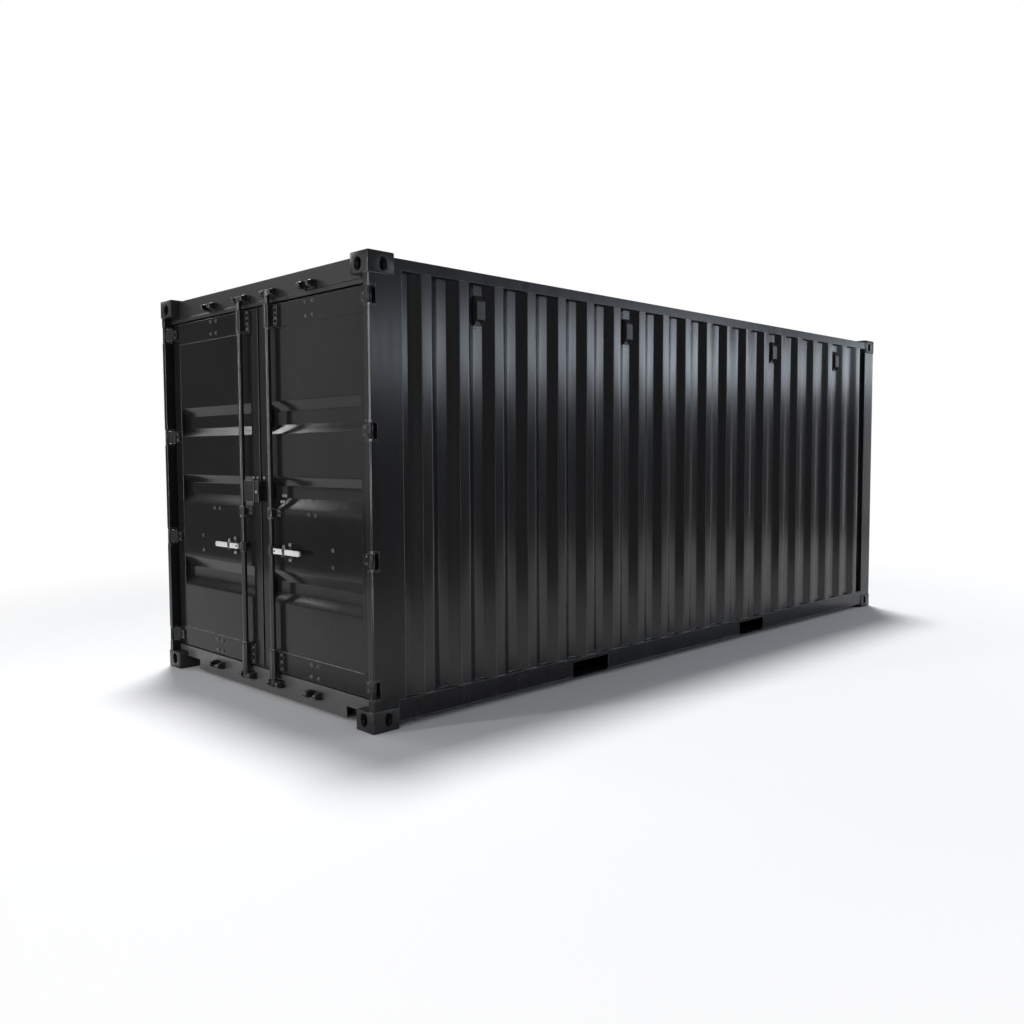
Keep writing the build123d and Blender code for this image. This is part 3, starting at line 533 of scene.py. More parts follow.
# Folded sheets
SHEET_CREASE = 40
BEND_STEPS = 4
WALL_BEND = 0.022
WALL_ROWS = 28
WALL_LIFT = 0.0005
WALL_SWAY = 0.0003
WALL_RIPPLE = 0.0002
WALL_FADE = 0.2
# Depths behind the outer face between which the folds take the painted highlight
FOLD_HIGHLIGHT_DEPTHS = (0.0002, 0.0014)
PANEL_BEND = 0.016
PANEL_ROWS = 24
PANEL_LIFT = 0.0008
PANEL_SWAY = 0.0007
PANEL_FADE = 0.15
LONGEST_RUN = 0.04


def rounded_path(path, radius):
    """Points of a folded line with an arc at every bend."""
    points = [Vector(path[0])]
    for before, corner, after in zip(path, path[1:], path[2:]):
        corner = Vector(corner)
        back = (Vector(before) - corner).normalized()
        ahead = (Vector(after) - corner).normalized()
        turn = math.pi - back.angle(ahead)
        reach = radius * math.tan(turn / 2)
        start = corner + back * reach
        stop = corner + ahead * reach
        for step in range(BEND_STEPS + 1):
            share = step / BEND_STEPS
            points.append(
                start * (1 - share) ** 2 + corner * 2 * share * (1 - share) + stop * share ** 2
            )
    points.append(Vector(path[-1]))
    return points


def split_long(points, longest):
    """The same line with its long runs divided."""
    result = [points[0]]
    for start, stop in zip(points, points[1:]):
        count = max(1, math.ceil((stop - start).length / longest))
        for step in range(1, count + 1):
            result.append(start.lerp(stop, step / count))
    return result


def folded_sheet(name, points, low, high, rows, place, wave, outward):
    """Sheet drawn out from a folded line, with a slight wave, its back face and its four cut edges."""
    build = bmesh.new()
    front = []
    for row in range(rows + 1):
        along = low + (high - low) * row / rows
        spots = [place(point[0], point[1] + wave(point, along), along) for point in points]
        front.append([build.verts.new(spot) for spot in spots])
    for first, second in zip(front, front[1:]):
        join_rows(build, first, second)
    build.normal_update()
    total = sum((face.normal.dot(outward) * face.calc_area() for face in build.faces), 0.0)
    turn = SHEET if total > 0 else -SHEET
    back = [[build.verts.new(vert.co - vert.normal * turn) for vert in line] for line in front]
    for first, second in zip(back, back[1:]):
        join_rows(build, first, second)
    for line in (0, -1):
        join_rows(build, front[line], back[line])
        join_rows(build, [row[line] for row in front], [row[line] for row in back])
    return smooth_object(name, build, SHEET_CREASE)


def long_wall_path():
    """Plan of a long wall as run and depth behind its outer plane."""
    start = WALL_FIRST_EDGE - WALL_OUTER_FLAT - WALL_SLOPE
    path = [(POST_BACK, WALL_DEPTH)]
    for rib in range(WALL_RIBS):
        foot = start + rib * WALL_PITCH
        path += [(foot, WALL_DEPTH), (foot + WALL_SLOPE, 0.0)]
        path += [
            (foot + WALL_SLOPE + WALL_OUTER_FLAT, 0.0), (foot + 2 * WALL_SLOPE + WALL_OUTER_FLAT, WALL_DEPTH)
        ]
    path.append((WALL_END, WALL_DEPTH))
    return path


def paint_fold_highlights(sheet, points, rows):
    """Give the outer folds of a sheet the lighter fold paint, a painted highlight along each fold. Its front
    faces come first, row by row.
    """
    sheet.data.materials.append(fold_highlight_paint)
    columns = len(points) - 1
    for index in range(rows * columns):
        column = index % columns
        depth = (points[column][1] + points[column + 1][1]) / 2
        if FOLD_HIGHLIGHT_DEPTHS[0] < depth < FOLD_HIGHLIGHT_DEPTHS[1]:
            sheet.data.polygons[index].material_index = 1


def make_long_walls():
    """Both corrugated long walls."""
    points = split_long(rounded_path(long_wall_path(), WALL_BEND), LONGEST_RUN)
    for side, label in BOTH_SIDES:
        def wave(point, along, side=side):
            fade = min(1.0, (along - WALL_FLOOR) / WALL_FADE, (WALL_TOP - along) / WALL_FADE)
            sway = math.sin(point[0] * 5.1 + side) * math.sin(along * 4.3 + point[0] * 1.7)
            ripple = math.sin(point[0] * 13.7 + along * 9.1) * math.sin(along * 6.7 - point[0] * 3.1 + side)
            return fade * (WALL_LIFT + WALL_SWAY * sway + WALL_RIPPLE * ripple)

        def place(run, depth, along, side=side):
            return (run, side * (WALL_FACE - depth), along)

        outward = Vector((0, side, 0))
        wall = folded_sheet(
            label + "_corrugated_wall", points, WALL_FLOOR, WALL_TOP, WALL_ROWS, place, wave, outward
        )
        wall.data.materials.append(wall_paint)
        paint_fold_highlights(wall, points, WALL_ROWS)
        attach(wall, "container_frame")
        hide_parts(label + "_side_wall")


make_long_walls()


def door_panel_path():
    """Section of a door panel as height and depth behind the door face."""
    path = [(DOOR_LOWER_SEAM, 0.0)]
    for lower_edge, lower_foot, upper_foot, upper_edge in TROUGHS:
        path += [(lower_edge, 0.0), (lower_foot, TROUGH_DEPTH)]
        path += [(upper_foot, TROUGH_DEPTH), (upper_edge, 0.0)]
    path.append((DOOR_TOP_SEAM, 0.0))
    return path


def make_door_panels():
    """Both pressed door panels."""
    points = split_long(rounded_path(door_panel_path(), PANEL_BEND), LONGEST_RUN)
    for side, label in BOTH_SIDES:
        def wave(point, along, side=side):
            across = min(along - PANEL_MEETING, PANEL_HINGE - along)
            edge = min(across, point[0] - DOOR_LOWER_SEAM, DOOR_TOP_SEAM - point[0])
            fade = max(0.0, min(1.0, edge / PANEL_FADE))
            sway = math.sin(point[0] * 4.9 + side * 0.7) * math.sin(along * 6.1 + point[0] * 1.3)
            return fade * (PANEL_LIFT + PANEL_SWAY * sway)

        def place(rise, depth, along, side=side):
            return (DOOR_FRONT + depth, side * along, rise)

        outward = Vector(OUT_OF_DOOR)
        panel = folded_sheet(
            label + "_pressed_panel", points, PANEL_MEETING, PANEL_HINGE, PANEL_ROWS, place, wave, outward
        )
        panel.data.materials.append(door_paint)
        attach(panel, label + "_door")
        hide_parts(label + "_door_panel")


make_door_panels()


# Detailed pieces
def finish_piece(name, build, finish, body, crease=35):
    """Object from a built mesh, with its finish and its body."""
    piece = smooth_object(name, build, crease)
    piece.data.materials.append(finish)
    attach(piece, body)
    return piece


def spokes(axis, count):
    """Unit axis and the directions about it."""
    along = Vector(axis).normalized()
    across = along.orthogonal().normalized()
    upward = along.cross(across)
    turns = [2 * math.pi * step / count for step in range(count)]
    return along, [across * math.cos(turn) + upward * math.sin(turn) for turn in turns]


def turned(build, centre, axis, profile, sides):
    """Closed turned shape from pairs of radius and height along an axis."""
    along, directions = spokes(axis, sides)
    rings = []
    for radius, height in profile:
        middle = Vector(centre) + along * height
        rings.append([build.verts.new(middle + spoke * radius) for spoke in directions])
    close_rings(build, rings)


# Radius and height of a bolt's washer and head, as shares of the head's half width
WASHER = ((1.45, -0.3), (1.45, 0.18), (1.38, 0.26), (0.9, 0.26))
BOLT_HEAD = ((1.0, 0.2), (1.0, 0.78), (0.88, 0.94), (0.5, 0.98))
RIVET_ROOT = 0.002
RIVET_DOME = 0.45
RIVET_STEPS = 6
RING_SIDES = 28
RING_STEPS = 10


def hexagon_bolt(build, centre, size):
    """Hexagon head on a washer, facing out of the door. The size is the head's half width."""
    for profile, sides in ((WASHER, 20), (BOLT_HEAD, 6)):
        sized = [(radius * size, height * size) for radius, height in profile]
        turned(build, centre, OUT_OF_DOOR, sized, sides)


def dome_rivet(build, centre, axis, size):
    """Low domed rivet head."""
    profile = [(size, -RIVET_ROOT)]
    for step in range(RIVET_STEPS):
        angle = math.pi / 2 * step / RIVET_STEPS
        profile.append((size * math.cos(angle), RIVET_DOME * size * math.sin(angle)))
    turned(build, centre, axis, profile, 16)


def ring_about(build, centre, axis, radius, thickness):
    """Closed round ring about an axis."""
    along, directions = spokes(axis, RING_SIDES)
    rings = []
    for spoke in directions:
        ring = []
        for step in range(RING_STEPS):
            turn = 2 * math.pi * step / RING_STEPS
            reach = spoke * (radius + thickness * math.cos(turn)) + along * thickness * math.sin(turn)
            ring.append(build.verts.new(Vector(centre) + reach))
        rings.append(ring)
    for first, second in zip(rings, rings[1:] + rings[:1]):
        join_rings(build, first, second)


def plate(build, low, high, rounding):
    """Flat plate between two corners, with rounded edges."""
    made = bmesh.ops.create_cube(build, size=1.0)["verts"]
    low, high = Vector(low), Vector(high)
    for vert in made:
        vert.co = Vector((low[axis] + (vert.co[axis] + 0.5) * (high[axis] - low[axis]) for axis in range(3)))
    edges = list({edge for vert in made for edge in vert.link_edges})
    bmesh.ops.bevel(build, geom=edges, offset=rounding, segments=2, profile=0.5, affect="EDGES")


def span(side, first, second):
    """Two distances from the middle plane on one side, in rising order."""
    return sorted((side * first, side * second))


BEAD_STEPS = 4
BEAD_SINK = 0.15


def weld_bead(build, stations, radius):
    """Rippled half round bead along stations of a point, its outward direction and its sideways direction."""
    rows = []
    for index, (point, outward, sideways) in enumerate(stations):
        swell = radius * (1.0 + 0.16 * math.sin(index * 2.1) + 0.08 * math.sin(index * 0.37))
        row = []
        for step in range(BEAD_STEPS + 1):
            angle = math.pi * step / BEAD_STEPS
            spot = point + outward * swell * (math.sin(angle) - BEAD_SINK)
            row.append(build.verts.new(spot + sideways * swell * math.cos(angle)))
        rows.append(row)
    for first, second in zip(rows, rows[1:]):
        join_rings(build, first, second)
    build.faces.new(rows[0])
    build.faces.new(rows[-1])


# Corner castings
CASTING_ROUND = 0.007
HOLLOW_ROUND = 0.006
CUTTER_DEPTH = 0.05
OVAL_STEPS = 32
# Half of the straight part and radius of each oval
SLOT_OVAL = (0.0305, 0.03175)
END_OVAL = (0.00625, 0.03175)
SIDE_OVAL = (0.0125, 0.0255)


def oval_prism(name, centre, axis, across, oval):
    """Cutter with an oval section about an axis. The oval is long in the across direction."""
    along, longways = Vector(axis), Vector(across)
    sideways = along.cross(longways)
    half_straight, radius = oval
    outline = []
    for step in range(OVAL_STEPS):
        angle = 2 * math.pi * step / OVAL_STEPS
        shift = half_straight if step < OVAL_STEPS / 4 or step > OVAL_STEPS * 3 / 4 else -half_straight
        outline.append(longways * (shift + radius * math.cos(angle)) + sideways * radius * math.sin(angle))
    build = bmesh.new()
    ends = []
    for reach in (-CUTTER_DEPTH, CUTTER_DEPTH):
        middle = Vector(centre) + along * reach
        ends.append([build.verts.new(middle + spot) for spot in outline])
    close_rings(build, ends)
    bmesh.ops.recalc_face_normals(build, faces=build.faces)
    return shape_object(name, build)


def plate_shape(name, low, high, rounding):
    """Plain object of one plate."""
    build = bmesh.new()
    plate(build, low, high, rounding)
    return shape_object(name, build)


def corner_casting():
    """Mesh of the lower casting at the door end on the left, with its slot and its two oval holes."""
    low = (-END, SIDE - FITTING[1], 0.0)
    high = (-END + FITTING[0], SIDE, FITTING[2])
    casting = plate_shape("casting", low, high, CASTING_ROUND)
    hollow_low = (low[0] + FITTING_FACE_WALL, low[1] + FITTING_BACK_WALL, FITTING_FACE_WALL)
    hollow_high = (high[0] - FITTING_BACK_WALL, high[1] - FITTING_FACE_WALL, high[2] - FITTING_BACK_WALL)
    middle_x, middle_y = SLOT_CENTRE
    cutters = [
        plate_shape("hollow", hollow_low, hollow_high, HOLLOW_ROUND),
        oval_prism("slot", (middle_x, middle_y, 0.0), UP, (1, 0, 0), SLOT_OVAL),
        oval_prism("end_hole", (-END, middle_y, HOLE_CENTRE), (1, 0, 0), UP, END_OVAL),
        oval_prism("side_hole", (middle_x, SIDE, HOLE_CENTRE), (0, 1, 0), UP, SIDE_OVAL),
    ]
    for cutter in cutters:
        cut = casting.modifiers.new("cut", "BOOLEAN")
        cut.operation = "DIFFERENCE"
        cut.solver = "EXACT"
        cut.object = cutter
    graph = bpy.context.evaluated_depsgraph_get()
    mesh = bpy.data.meshes.new_from_object(casting.evaluated_get(graph))
    for shape in [casting] + cutters:
        spare = shape.data
        bpy.data.objects.remove(shape)
        bpy.data.meshes.remove(spare)
    return mesh


def make_corner_castings():
    """Four castings on the ground and four at the top."""
    mesh = corner_casting()
    for label, upper in (("lower", False), ("upper", True)):
        build = bmesh.new()
        for along in (1, -1):
            for across in (1, -1):
                count = len(build.verts)
                build.from_mesh(mesh)
                build.verts.ensure_lookup_table()
                for vert in build.verts[count:]:
                    rise = HEIGHT - vert.co.z if upper else vert.co.z
                    vert.co = (vert.co.x * along, vert.co.y * across, rise)
        name = label + "_corner_castings"
        piece = finish_piece(name, build, fitting_paint, "container_frame")
        add_bevel(piece, "rim", 0.003, 2, 50)
        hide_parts(label + "_corner_fittings")
    bpy.data.meshes.remove(mesh)


make_corner_castings()

# Keepers of the locking bars
KEEPER_SIDES = (BAR_SIDE, 0.580)
KEEPER_RISES = (("lower", 0.100), ("upper", 2.490))
KEEPER_BACK = -2.966
KEEPER_PLATE = -2.971
KEEPER_FRONT = -3.027
KEEPER_HALF = 0.023
KEEPER_INNER = 0.037
KEEPER_OUTER = 0.063
# Depth and half height of a horn from its root to its nose
HORN_PROFILE = (
    (KEEPER_PLATE, KEEPER_HALF), (-2.990, 0.0225), (-3.010, 0.0190), (-3.021, 0.0140), (KEEPER_FRONT, 0.0070),
)
HORN_ROUND = 0.0055
LIP_START = 0.024
LIP_STOP = KEEPER_INNER + 0.010
LIP_BACK = KEEPER_FRONT + 0.009
LIP_HALF = 0.012


def keeper_horn(build, start, stop, rise):
    """Tapered horn with a rounded nose, between two places across the beam."""
    outline = [(depth, -half) for depth, half in HORN_PROFILE]
    outline += [(depth, half) for depth, half in reversed(HORN_PROFILE)]
    sides = []
    for across in (start, stop):
        sides.append([build.verts.new((depth, across, rise + height)) for depth, height in outline])
    faces = [build.faces.new(sides[0]), build.faces.new(list(reversed(sides[1])))]
    join_rings(build, *sides)
    edges = list({edge for face in faces for edge in face.edges})
    bmesh.ops.bevel(build, geom=edges, offset=HORN_ROUND, segments=3, profile=0.5, affect="EDGES", material=1)


def make_bar_keepers():
    """Horned keepers on the header and the sill, with a lip on the horn toward the meeting edge."""
    for label, rise in KEEPER_RISES:
        build = bmesh.new()
        foot, head = rise - KEEPER_HALF, rise + KEEPER_HALF
        for side, _ in BOTH_SIDES:
            for middle in KEEPER_SIDES:
                low, high = span(side, middle - KEEPER_OUTER, middle + KEEPER_OUTER)
                plate(build, (KEEPER_PLATE, low, foot), (KEEPER_BACK, high, head), 0.002)
                for offset in (-1, 1):
                    inner = side * (middle + offset * KEEPER_INNER)
                    outer = side * (middle + offset * KEEPER_OUTER)
                    keeper_horn(build, inner, outer, rise)
                low, high = span(side, middle - LIP_START, middle - LIP_STOP)
                plate(build, (KEEPER_FRONT, low, rise - LIP_HALF), (LIP_BACK, high, rise + LIP_HALF), 0.003)
        keepers = finish_piece(label + "_horned_keepers", build, gear_paint, "container_frame")
        # The rounded rims of the horns take the lighter edge paint: partly rubbed paint, partly a painted
        # highlight
        keepers.data.materials.append(edge_wear_and_highlight_paint)
        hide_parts(label + "_bar_keepers")


make_bar_keepers()

# Lip along the lower edge of the long sides
RAIL_LIP_ROOT = 1.212
RAIL_LIP_FACE = 1.2155
RAIL_LIP_RISES = (0.038, 0.043)
RAIL_RUNS = ((-WALL_END, -1.403), (-1.027, 0.647), (1.023, WALL_END))


def make_rail_lips():
    """Raised lip along the fold of each bottom rail, open at the fork pockets."""
    for side, label in BOTH_SIDES:
        build = bmesh.new()
        low, high = span(side, RAIL_LIP_ROOT, RAIL_LIP_FACE)
        for start, stop in RAIL_RUNS:
            plate(build, (start, low, RAIL_LIP_RISES[0]), (stop, high, RAIL_LIP_RISES[1]), 0.001)
        # The lip takes the lighter edge paint: a painted highlight along the rail's fold, with some rubbed
        # paint
        finish_piece(label + "_rail_lip", build, edge_wear_and_highlight_paint, "container_frame")


make_rail_lips()

# Fasteners of the doors: columns, heights, face and half width of the bolts on each door
PAINTED_BOLTS = (
    ((0.534, 0.606), (0.196, 0.269, 1.162, 2.319, 2.398), DOOR_FRONT, 0.0085),
    ((0.775,), (0.868, 0.967), DOOR_FRONT, 0.0085),
    (
        (BAR_SIDE - 0.043, BAR_SIDE + 0.043),
        (0.194, 0.238, 0.282, 1.146, 1.170, 2.304, 2.337, 2.371, 2.405),
        GUIDE_FACE,
        0.0065,
    ),
)
ZINC_BOLTS = (
    ((CATCH_SIDE,), (0.879, 0.971), GUIDE_FACE, 0.0075),
    ((0.200, 0.226), (1.264,), DOOR_FRONT + TROUGH_DEPTH, 0.0075),
    ((0.200, 0.226), (1.226,), DOOR_FRONT + 0.022, 0.0075),
    ((0.040, 0.092), (1.370,), DOOR_FRONT, 0.0065),
)
LOCK_BOX_BOLT = (-3.0212, -0.028, 1.285)


def add_bolts(build, side, rows):
    """Bolts of one door by the rows of a table."""
    for columns, rises, face, size in rows:
        for column in columns:
            for rise in rises:
                hexagon_bolt(build, (face, side * column, rise), size)


def make_door_bolts():
    """Painted bolts of the inner fixings and the bar guides, zinc bolts of the catches and the lock box."""
    for side, label in BOTH_SIDES:
        build = bmesh.new()
        add_bolts(build, side, PAINTED_BOLTS)
        finish_piece(label + "_door_bolts", build, bolt_highlight_paint, label + "_door")
        build = bmesh.new()
        add_bolts(build, side, ZINC_BOLTS)
        if label == "right":
            hexagon_bolt(build, LOCK_BOX_BOLT, 0.0065)
        finish_piece(label + "_catch_bolts", build, zinc_bolt, label + "_door")


RIVET_SIDE = 1.108
RIVET_OFFSETS = (-0.020, 0.020)


def make_hinge_rivets():
    """Two rivets through each hinge strap."""
    for side, label in BOTH_SIDES:
        build = bmesh.new()
        for rise in HINGE_RISES:
            for offset in RIVET_OFFSETS:
                dome_rivet(build, (HINGE_FACE, side * RIVET_SIDE, rise + offset), OUT_OF_DOOR, 0.008)
        finish_piece(label + "_hinge_rivets", build, bolt_highlight_paint, label + "_door")


COLLAR_RISES = (0.311, 1.123, 1.184, 2.273)
COLLAR_PROFILE = (
    (0.0172, 0.0), (0.0205, 0.0), (0.0215, 0.0015), (0.0215, 0.0065), (0.0205, 0.008), (0.0172, 0.008),
)


def make_bar_collars():
    """Rings on the locking bars above and below their guides."""
    for side, label in BOTH_SIDES:
        build = bmesh.new()
        for rise in COLLAR_RISES:
            turned(build, (BAR_X, side * BAR_SIDE, rise), UP, COLLAR_PROFILE, 32)
        finish_piece(label + "_bar_collars", build, bolt_highlight_paint, label + "_lock_bar")


CLIP_HALF = 0.013
CLIP_FACE = HANDLE_FACE - 0.0030
CLIP_INNER = HANDLE_FACE - 0.0010
CLIP_FOOT = HANDLE_RISE - 0.0150
CLIP_FOLD = HANDLE_RISE + 0.0160
CLIP_TOP = HANDLE_RISE + 0.0190
CLIP_ROUND = 0.0009
CLIP_RIVET_FACE = HANDLE_FACE - 0.0025
LOOP_X = HANDLE_FACE + 0.006
LOOP_RISE = HANDLE_RISE + 0.030


def make_handle_clips():
    """Folded clip with a seal loop over the middle of each handle."""
    for side, label in BOTH_SIDES:
        low, high = span(side, CATCH_SIDE - CLIP_HALF, CATCH_SIDE + CLIP_HALF)
        build = bmesh.new()
        plate(build, (CLIP_FACE, low, CLIP_FOOT), (HANDLE_FACE, high, CLIP_TOP), CLIP_ROUND)
        plate(build, (CLIP_INNER, low, CLIP_FOLD), (HANDLE_BACK, high, CLIP_TOP), CLIP_ROUND)
        dome_rivet(build, (CLIP_RIVET_FACE, side * CATCH_SIDE, HANDLE_RISE), OUT_OF_DOOR, 0.0045)
        finish_piece(label + "_handle_clip", build, gear_paint, label + "_handle")
        build = bmesh.new()
        ring_about(build, (LOOP_X, side * CATCH_SIDE, LOOP_RISE), OUT_OF_DOOR, 0.0105, 0.0026)
        finish_piece(label + "_seal_loop", build, zinc_bolt, label + "_handle")


SCREW_OFFSETS = (-0.018, 0.018)
SCREW_RISES = (VENT_FLOOR - 0.014, VENT_TOP + 0.014)
SCREW_SIDE = WALL_FACE - WALL_DEPTH - 0.001


def make_vent_screws():
    """Screws above and below every ventilator."""
    for side, label in BOTH_SIDES:
        build = bmesh.new()
        for middle in VENT_MIDDLES:
            for offset in SCREW_OFFSETS:
                for rise in SCREW_RISES:
                    dome_rivet(build, (middle + offset, side * SCREW_SIDE, rise), (0, side, 0), 0.0055)
        finish_piece(label + "_vent_screws", build, bolt_highlight_paint, "container_frame")


# Weld seams
SEAM_CREASE = 60
SEAM_STEP = 0.006
# The lower seam takes the lighter bolt paint as a painted highlight; the upper seam keeps the door's own
# paint
DOOR_SEAMS = (("lower", DOOR_LOWER_SEAM, bolt_highlight_paint), ("upper", DOOR_TOP_SEAM, door_paint))
DOOR_BEAD = 0.0028
WALL_BEAD = 0.0042
FIN_BEAD = 0.0046
POST_BEAD = 0.0030
POST_EDGE = 0.006


def straight_stations(start, stop, outward, sideways):
    """Stations of a straight weld bead."""
    start, stop = Vector(start), Vector(stop)
    count = max(2, int((stop - start).length / SEAM_STEP))
    outward, sideways = Vector(outward).normalized(), Vector(sideways).normalized()
    return [(start.lerp(stop, index / count), outward, sideways) for index in range(count + 1)]


def make_door_seams():
    """Weld beads where each pressed panel meets its door frame."""
    for side, label in BOTH_SIDES:
        for place, rise, finish in DOOR_SEAMS:
            start = (DOOR_FRONT, side * PANEL_MEETING, rise)
            stop = (DOOR_FRONT, side * PANEL_HINGE, rise)
            build = bmesh.new()
            weld_bead(build, straight_stations(start, stop, OUT_OF_DOOR, UP), DOOR_BEAD)
            name = label + "_door_" + place + "_seam"
            finish_piece(name, build, finish, label + "_door", SEAM_CREASE)


def make_wall_seams():
    """Weld beads where each long wall stands on its bottom rail."""
    points = split_long(rounded_path(long_wall_path(), WALL_BEND), 2 * SEAM_STEP)
    for side, label in BOTH_SIDES:
        stations = []
        for index, point in enumerate(points):
            before, after = points[max(index - 1, 0)], points[min(index + 1, len(points) - 1)]
            run = (after - before).normalized()
            outward = Vector((run[1], side * run[0], 0.35)).normalized()
            spot = Vector((point[0], side * (WALL_FACE - point[1]), WALL_FLOOR + 0.002))
            stations.append((spot, outward, Vector(UP)))
        build = bmesh.new()
        weld_bead(build, stations, WALL_BEAD)
        # The bead takes the lighter edge paint: partly rubbed paint, partly a painted highlight
        finish_piece(label + "_wall_seam", build, edge_wear_and_highlight_paint, "container_frame", SEAM_CREASE)


def make_post_seams():
    """Weld beads at the edge of each door post's fin and round its feet on the castings."""
    for side, label in BOTH_SIDES:
        build = bmesh.new()
        flank = side * POST_SIDE
        fin = side * (POST_SIDE - 0.004)
        beads = [(
            (FIN_END, fin, WALL_FLOOR), (FIN_END, fin, WALL_TOP),
            (0.6, side * 0.8, 0), (0.8, side * -0.6, 0), FIN_BEAD,
        )]
        for rise, upward in ((FITTING[2], 1), (HEIGHT - FITTING[2], -1)):
            beads.append((
                (POST_FRONT + POST_EDGE, flank, rise), (POST_BACK, flank, rise),
                (0, side, upward), (0, -side, upward), POST_BEAD,
            ))
            beads.append((
                (POST_FRONT, side * (POST_SIDE - POST_EDGE), rise), (POST_FRONT, side * POST_INNER, rise),
                (-1, 0, upward), (1, 0, upward), POST_BEAD,
            ))
        for start, stop, outward, sideways, radius in beads:
            weld_bead(build, straight_stations(start, stop, outward, sideways), radius)
        # The beads take the lighter edge paint: partly rubbed paint, partly a painted highlight
        finish_piece(label + "_post_seams", build, edge_wear_and_highlight_paint, "container_frame", SEAM_CREASE)


make_post_seams()
make_door_bolts()
make_hinge_rivets()
make_bar_collars()
make_handle_clips()
make_vent_screws()
make_door_seams()
make_wall_seams()

# Studio
STAGE_WHITE = (0.93, 0.93, 0.93)
SURROUND_LOW = (0.06, 0.06, 0.065)
SURROUND_HIGH = (0.26, 0.27, 0.29)
SHOWN_LOW = (0.16, 0.16, 0.163)
WHITE_SIDE = (-0.94, -0.342, 0.0)
# Angle about the middle of the container and distance to the edge of the floor
FLOOR_REACH = (
    (-180, 6.6), (-130, 6.6), (-100, 5.0), (-80, 5.2), (-60, 8.0), (-30, 11.0), (30, 14.6), (80, 12.0),
    (120, 10.0), (150, 7.5), (180, 6.6),
)
FLOOR_STEPS = 180
FLOOR_WHITE = (4.5, 7.0)
BACKDROP_MIDDLE = (-6, -5.3)
BACKDROP_RADIUS = 24
BACKDROP_HEIGHTS = (-3.0, 14.0)
BACKDROP_START = 8
BACKDROP_TURN = 74
BACKDROP_STEPS = 40


def stage_material(name):
    """Plain pale matt surface with a trace of drift."""
    material, tree, shader = new_material(name)
    mottle = place_group(tree, MOTTLE, {"Scale": 0.4, "Peel Scale": 90.0})
    tone = mix_colour(tree, mottle.outputs["Drift"], toned(STAGE_WHITE, 0.985), STAGE_WHITE)
    tree.links.new(tone, shader.inputs["Base Color"])
    shader.inputs["Roughness"].default_value = 1.0
    shader.inputs["Specular IOR Level"].default_value = 0.0
    return material, tree, shader


def seen_ray(tree):
    """One for rays of the camera, of gloss and through glass."""
    path = tree.nodes.new("ShaderNodeLightPath")
    seen = math_node(tree, "MAXIMUM", path.outputs["Is Camera Ray"], path.outputs["Is Glossy Ray"])
    return math_node(tree, "MAXIMUM", seen, path.outputs["Is Transmission Ray"])


def show_white(tree, shader, share=None):
    """Let the camera and the shiny paint see a stage surface as plain white, over the given share of it."""
    seen = seen_ray(tree)
    if share:
        seen = math_node(tree, "MULTIPLY", seen, share)
    glow = tree.nodes.new("ShaderNodeEmission")
    glow.inputs["Strength"].default_value = 1.0
    choose = tree.nodes.new("ShaderNodeMixShader")
    tree.links.new(seen, choose.inputs[0])
    tree.links.new(shader.outputs["BSDF"], choose.inputs[1])
    tree.links.new(glow.outputs["Emission"], choose.inputs[2])
    tree.links.new(choose.outputs["Shader"], tree.nodes["Material Output"].inputs["Surface"])


def floor_reach(angle):
    """Distance from the middle of the container to the edge of the floor."""
    for (low, first), (high, second) in zip(FLOOR_REACH, FLOOR_REACH[1:]):
        if low <= angle <= high:
            share = 0.5 - 0.5 * math.cos(math.pi * (angle - low) / (high - low))
            return first + (second - first) * share
    return FLOOR_REACH[0][1]


def make_floor():
    """Pale floor, carried further out behind the container."""
    build = bmesh.new()
    edge = []
    for step in range(FLOOR_STEPS):
        angle = step * 360 / FLOOR_STEPS - 180
        reach = floor_reach(angle)
        turn = math.radians(angle)
        edge.append(build.verts.new((reach * math.cos(turn), reach * math.sin(turn), 0.0)))
    build.faces.new(edge)
    floor = shape_object("studio_floor", build)
    material, tree, shader = stage_material("studio_floor_white")
    coordinate = tree.nodes.new("ShaderNodeTexCoord")
    distance = tree.nodes.new("ShaderNodeVectorMath")
    distance.operation = "LENGTH"
    tree.links.new(coordinate.outputs["Object"], distance.inputs[0])
    show_white(tree, shader, ramp_node(tree, distance.outputs["Value"], *FLOOR_WHITE))
    floor.data.materials.append(material)


def make_backdrop():
    """Curved white wall behind the container."""
    build = bmesh.new()
    rows = []
    for height in BACKDROP_HEIGHTS:
        row = []
        for step in range(BACKDROP_STEPS + 1):
            angle = math.radians(BACKDROP_START + BACKDROP_TURN * step / BACKDROP_STEPS)
            along = BACKDROP_MIDDLE[0] + BACKDROP_RADIUS * math.cos(angle)
            across = BACKDROP_MIDDLE[1] + BACKDROP_RADIUS * math.sin(angle)
            row.append(build.verts.new((along, across, height)))
        rows.append(row)
    join_rows(build, *rows)
    backdrop = shape_object("studio_backdrop", build)
    material, tree, shader = stage_material("studio_backdrop_white")
    show_white(tree, shader)
    backdrop.data.materials.append(material)


make_floor()
make_backdrop()


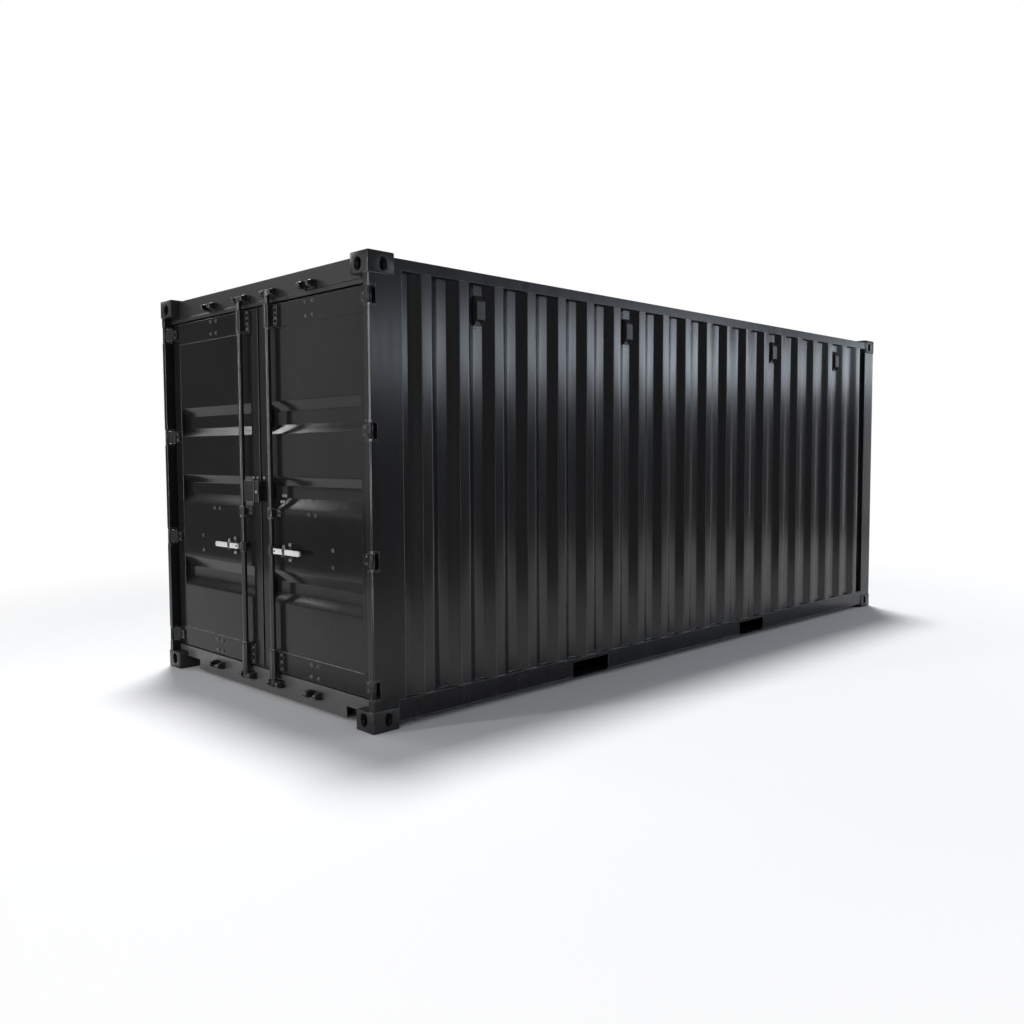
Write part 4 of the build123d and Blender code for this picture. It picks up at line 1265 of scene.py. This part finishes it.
def make_world():
    """Grey surround, a little lighter overhead. The camera and the shiny paint see one side of it white."""
    world = bpy.data.worlds.new("studio_surround")
    bpy.context.scene.world = world
    world.use_nodes = True
    tree = world.node_tree
    coordinate = tree.nodes.new("ShaderNodeTexCoord")
    direction = coordinate.outputs["Generated"]
    rise = ramp_node(tree, upward_part(tree, direction), 0.05, 0.9)
    tone = mix_colour(tree, rise, SURROUND_LOW, SURROUND_HIGH)
    shown = mix_colour(tree, rise, SHOWN_LOW, SURROUND_HIGH)
    toward = tree.nodes.new("ShaderNodeVectorMath")
    toward.operation = "DOT_PRODUCT"
    tree.links.new(direction, toward.inputs[0])
    toward.inputs[1].default_value = WHITE_SIDE
    shown = mix_colour(tree, ramp_node(tree, toward.outputs["Value"], 0.55, 0.85), shown, (1, 1, 1))
    tone = mix_colour(tree, seen_ray(tree), tone, shown)
    tree.links.new(tone, tree.nodes["Background"].inputs["Color"])


make_world()


def area_lamp(name, place, target, width, height, power, colour=(1, 1, 1), spread=180, roll=0):
    """Softbox turned to a target."""
    data = bpy.data.lights.new(name, "AREA")
    data.shape = "RECTANGLE"
    data.size = width
    data.size_y = height
    data.energy = power
    data.color = colour
    data.spread = math.radians(spread)
    lamp = place_object(name, data)
    lamp.location = place
    aim = (Vector(target) - Vector(place)).to_track_quat("-Z", "Y")
    lamp.rotation_euler = (aim @ Quaternion(UP, math.radians(roll))).to_euler()
    lamp.visible_camera = False


def overhead_lamp(name, tilt, strength, spread):
    """Wide even light from above."""
    data = bpy.data.lights.new(name, "SUN")
    data.energy = strength
    data.angle = math.radians(spread)
    lamp = place_object(name, data)
    lamp.rotation_euler = (-Vector(tilt)).to_track_quat("-Z", "Y").to_euler()


COOL = (0.80, 0.89, 1.0)
PALE_COOL = (0.88, 0.94, 1.0)
overhead_lamp("overhead_light", (0.22, 0.27, 1.0), 2.5, 13)
area_lamp("near_wall_softbox", (7.6, -10.2, 3.6), (-1.0, -1.2, 2.4), 7.6, 1.1, 168, COOL)
area_lamp("far_wall_softbox", (10.2, -6.4, 3.1), (1.0, -1.2, 2.4), 5.0, 0.8, 48, COOL)
area_lamp("wall_strip", (12.0, -4.5, 2.5), (0.0, -1.2, 1.4), 0.6, 5.0, 38, PALE_COOL)
area_lamp("door_softbox", (-7.3, 4.6, 2.4), (-3.0, -0.6, 1.6), 2.6, 3.2, 7, spread=110)
area_lamp("door_strip", (-8.8, 1.0, 2.6), (-3.0, 0.0, 1.5), 0.35, 3.2, 24, spread=70)
area_lamp("post_strip", (-8.2, -5.0, 1.9), (-3.0, -1.2, 1.5), 0.5, 3.6, 12, spread=60)
area_lamp("slope_softbox", (-5.63, 8.3, 5.78), (-3.0, -0.2, 1.4), 0.45, 2.4, 4.5, spread=60, roll=46.7)
area_lamp("slope_fill", (-4.6, 8.3, 5.6), (-3.0, -0.6, 1.4), 3.4, 2.6, 4.0, spread=60)

# Camera at the photograph's angle
CAMERA_PLACE = (-6.039, -5.291, 1.514)
CAMERA_LENS = 33.2
CAMERA_SENSOR = 36
CAMERA_TURN = (90 - 3.525, 0.24, -45)


def make_camera():
    """Camera that looks over the near post along both faces."""
    data = bpy.data.cameras.new("camera")
    data.lens = CAMERA_LENS
    data.sensor_width = CAMERA_SENSOR
    camera = place_object("camera", data)
    camera.location = CAMERA_PLACE
    camera.rotation_euler = [math.radians(angle) for angle in CAMERA_TURN]
    bpy.context.scene.camera = camera


make_camera()
bpy.context.scene.view_settings.view_transform = "Standard"
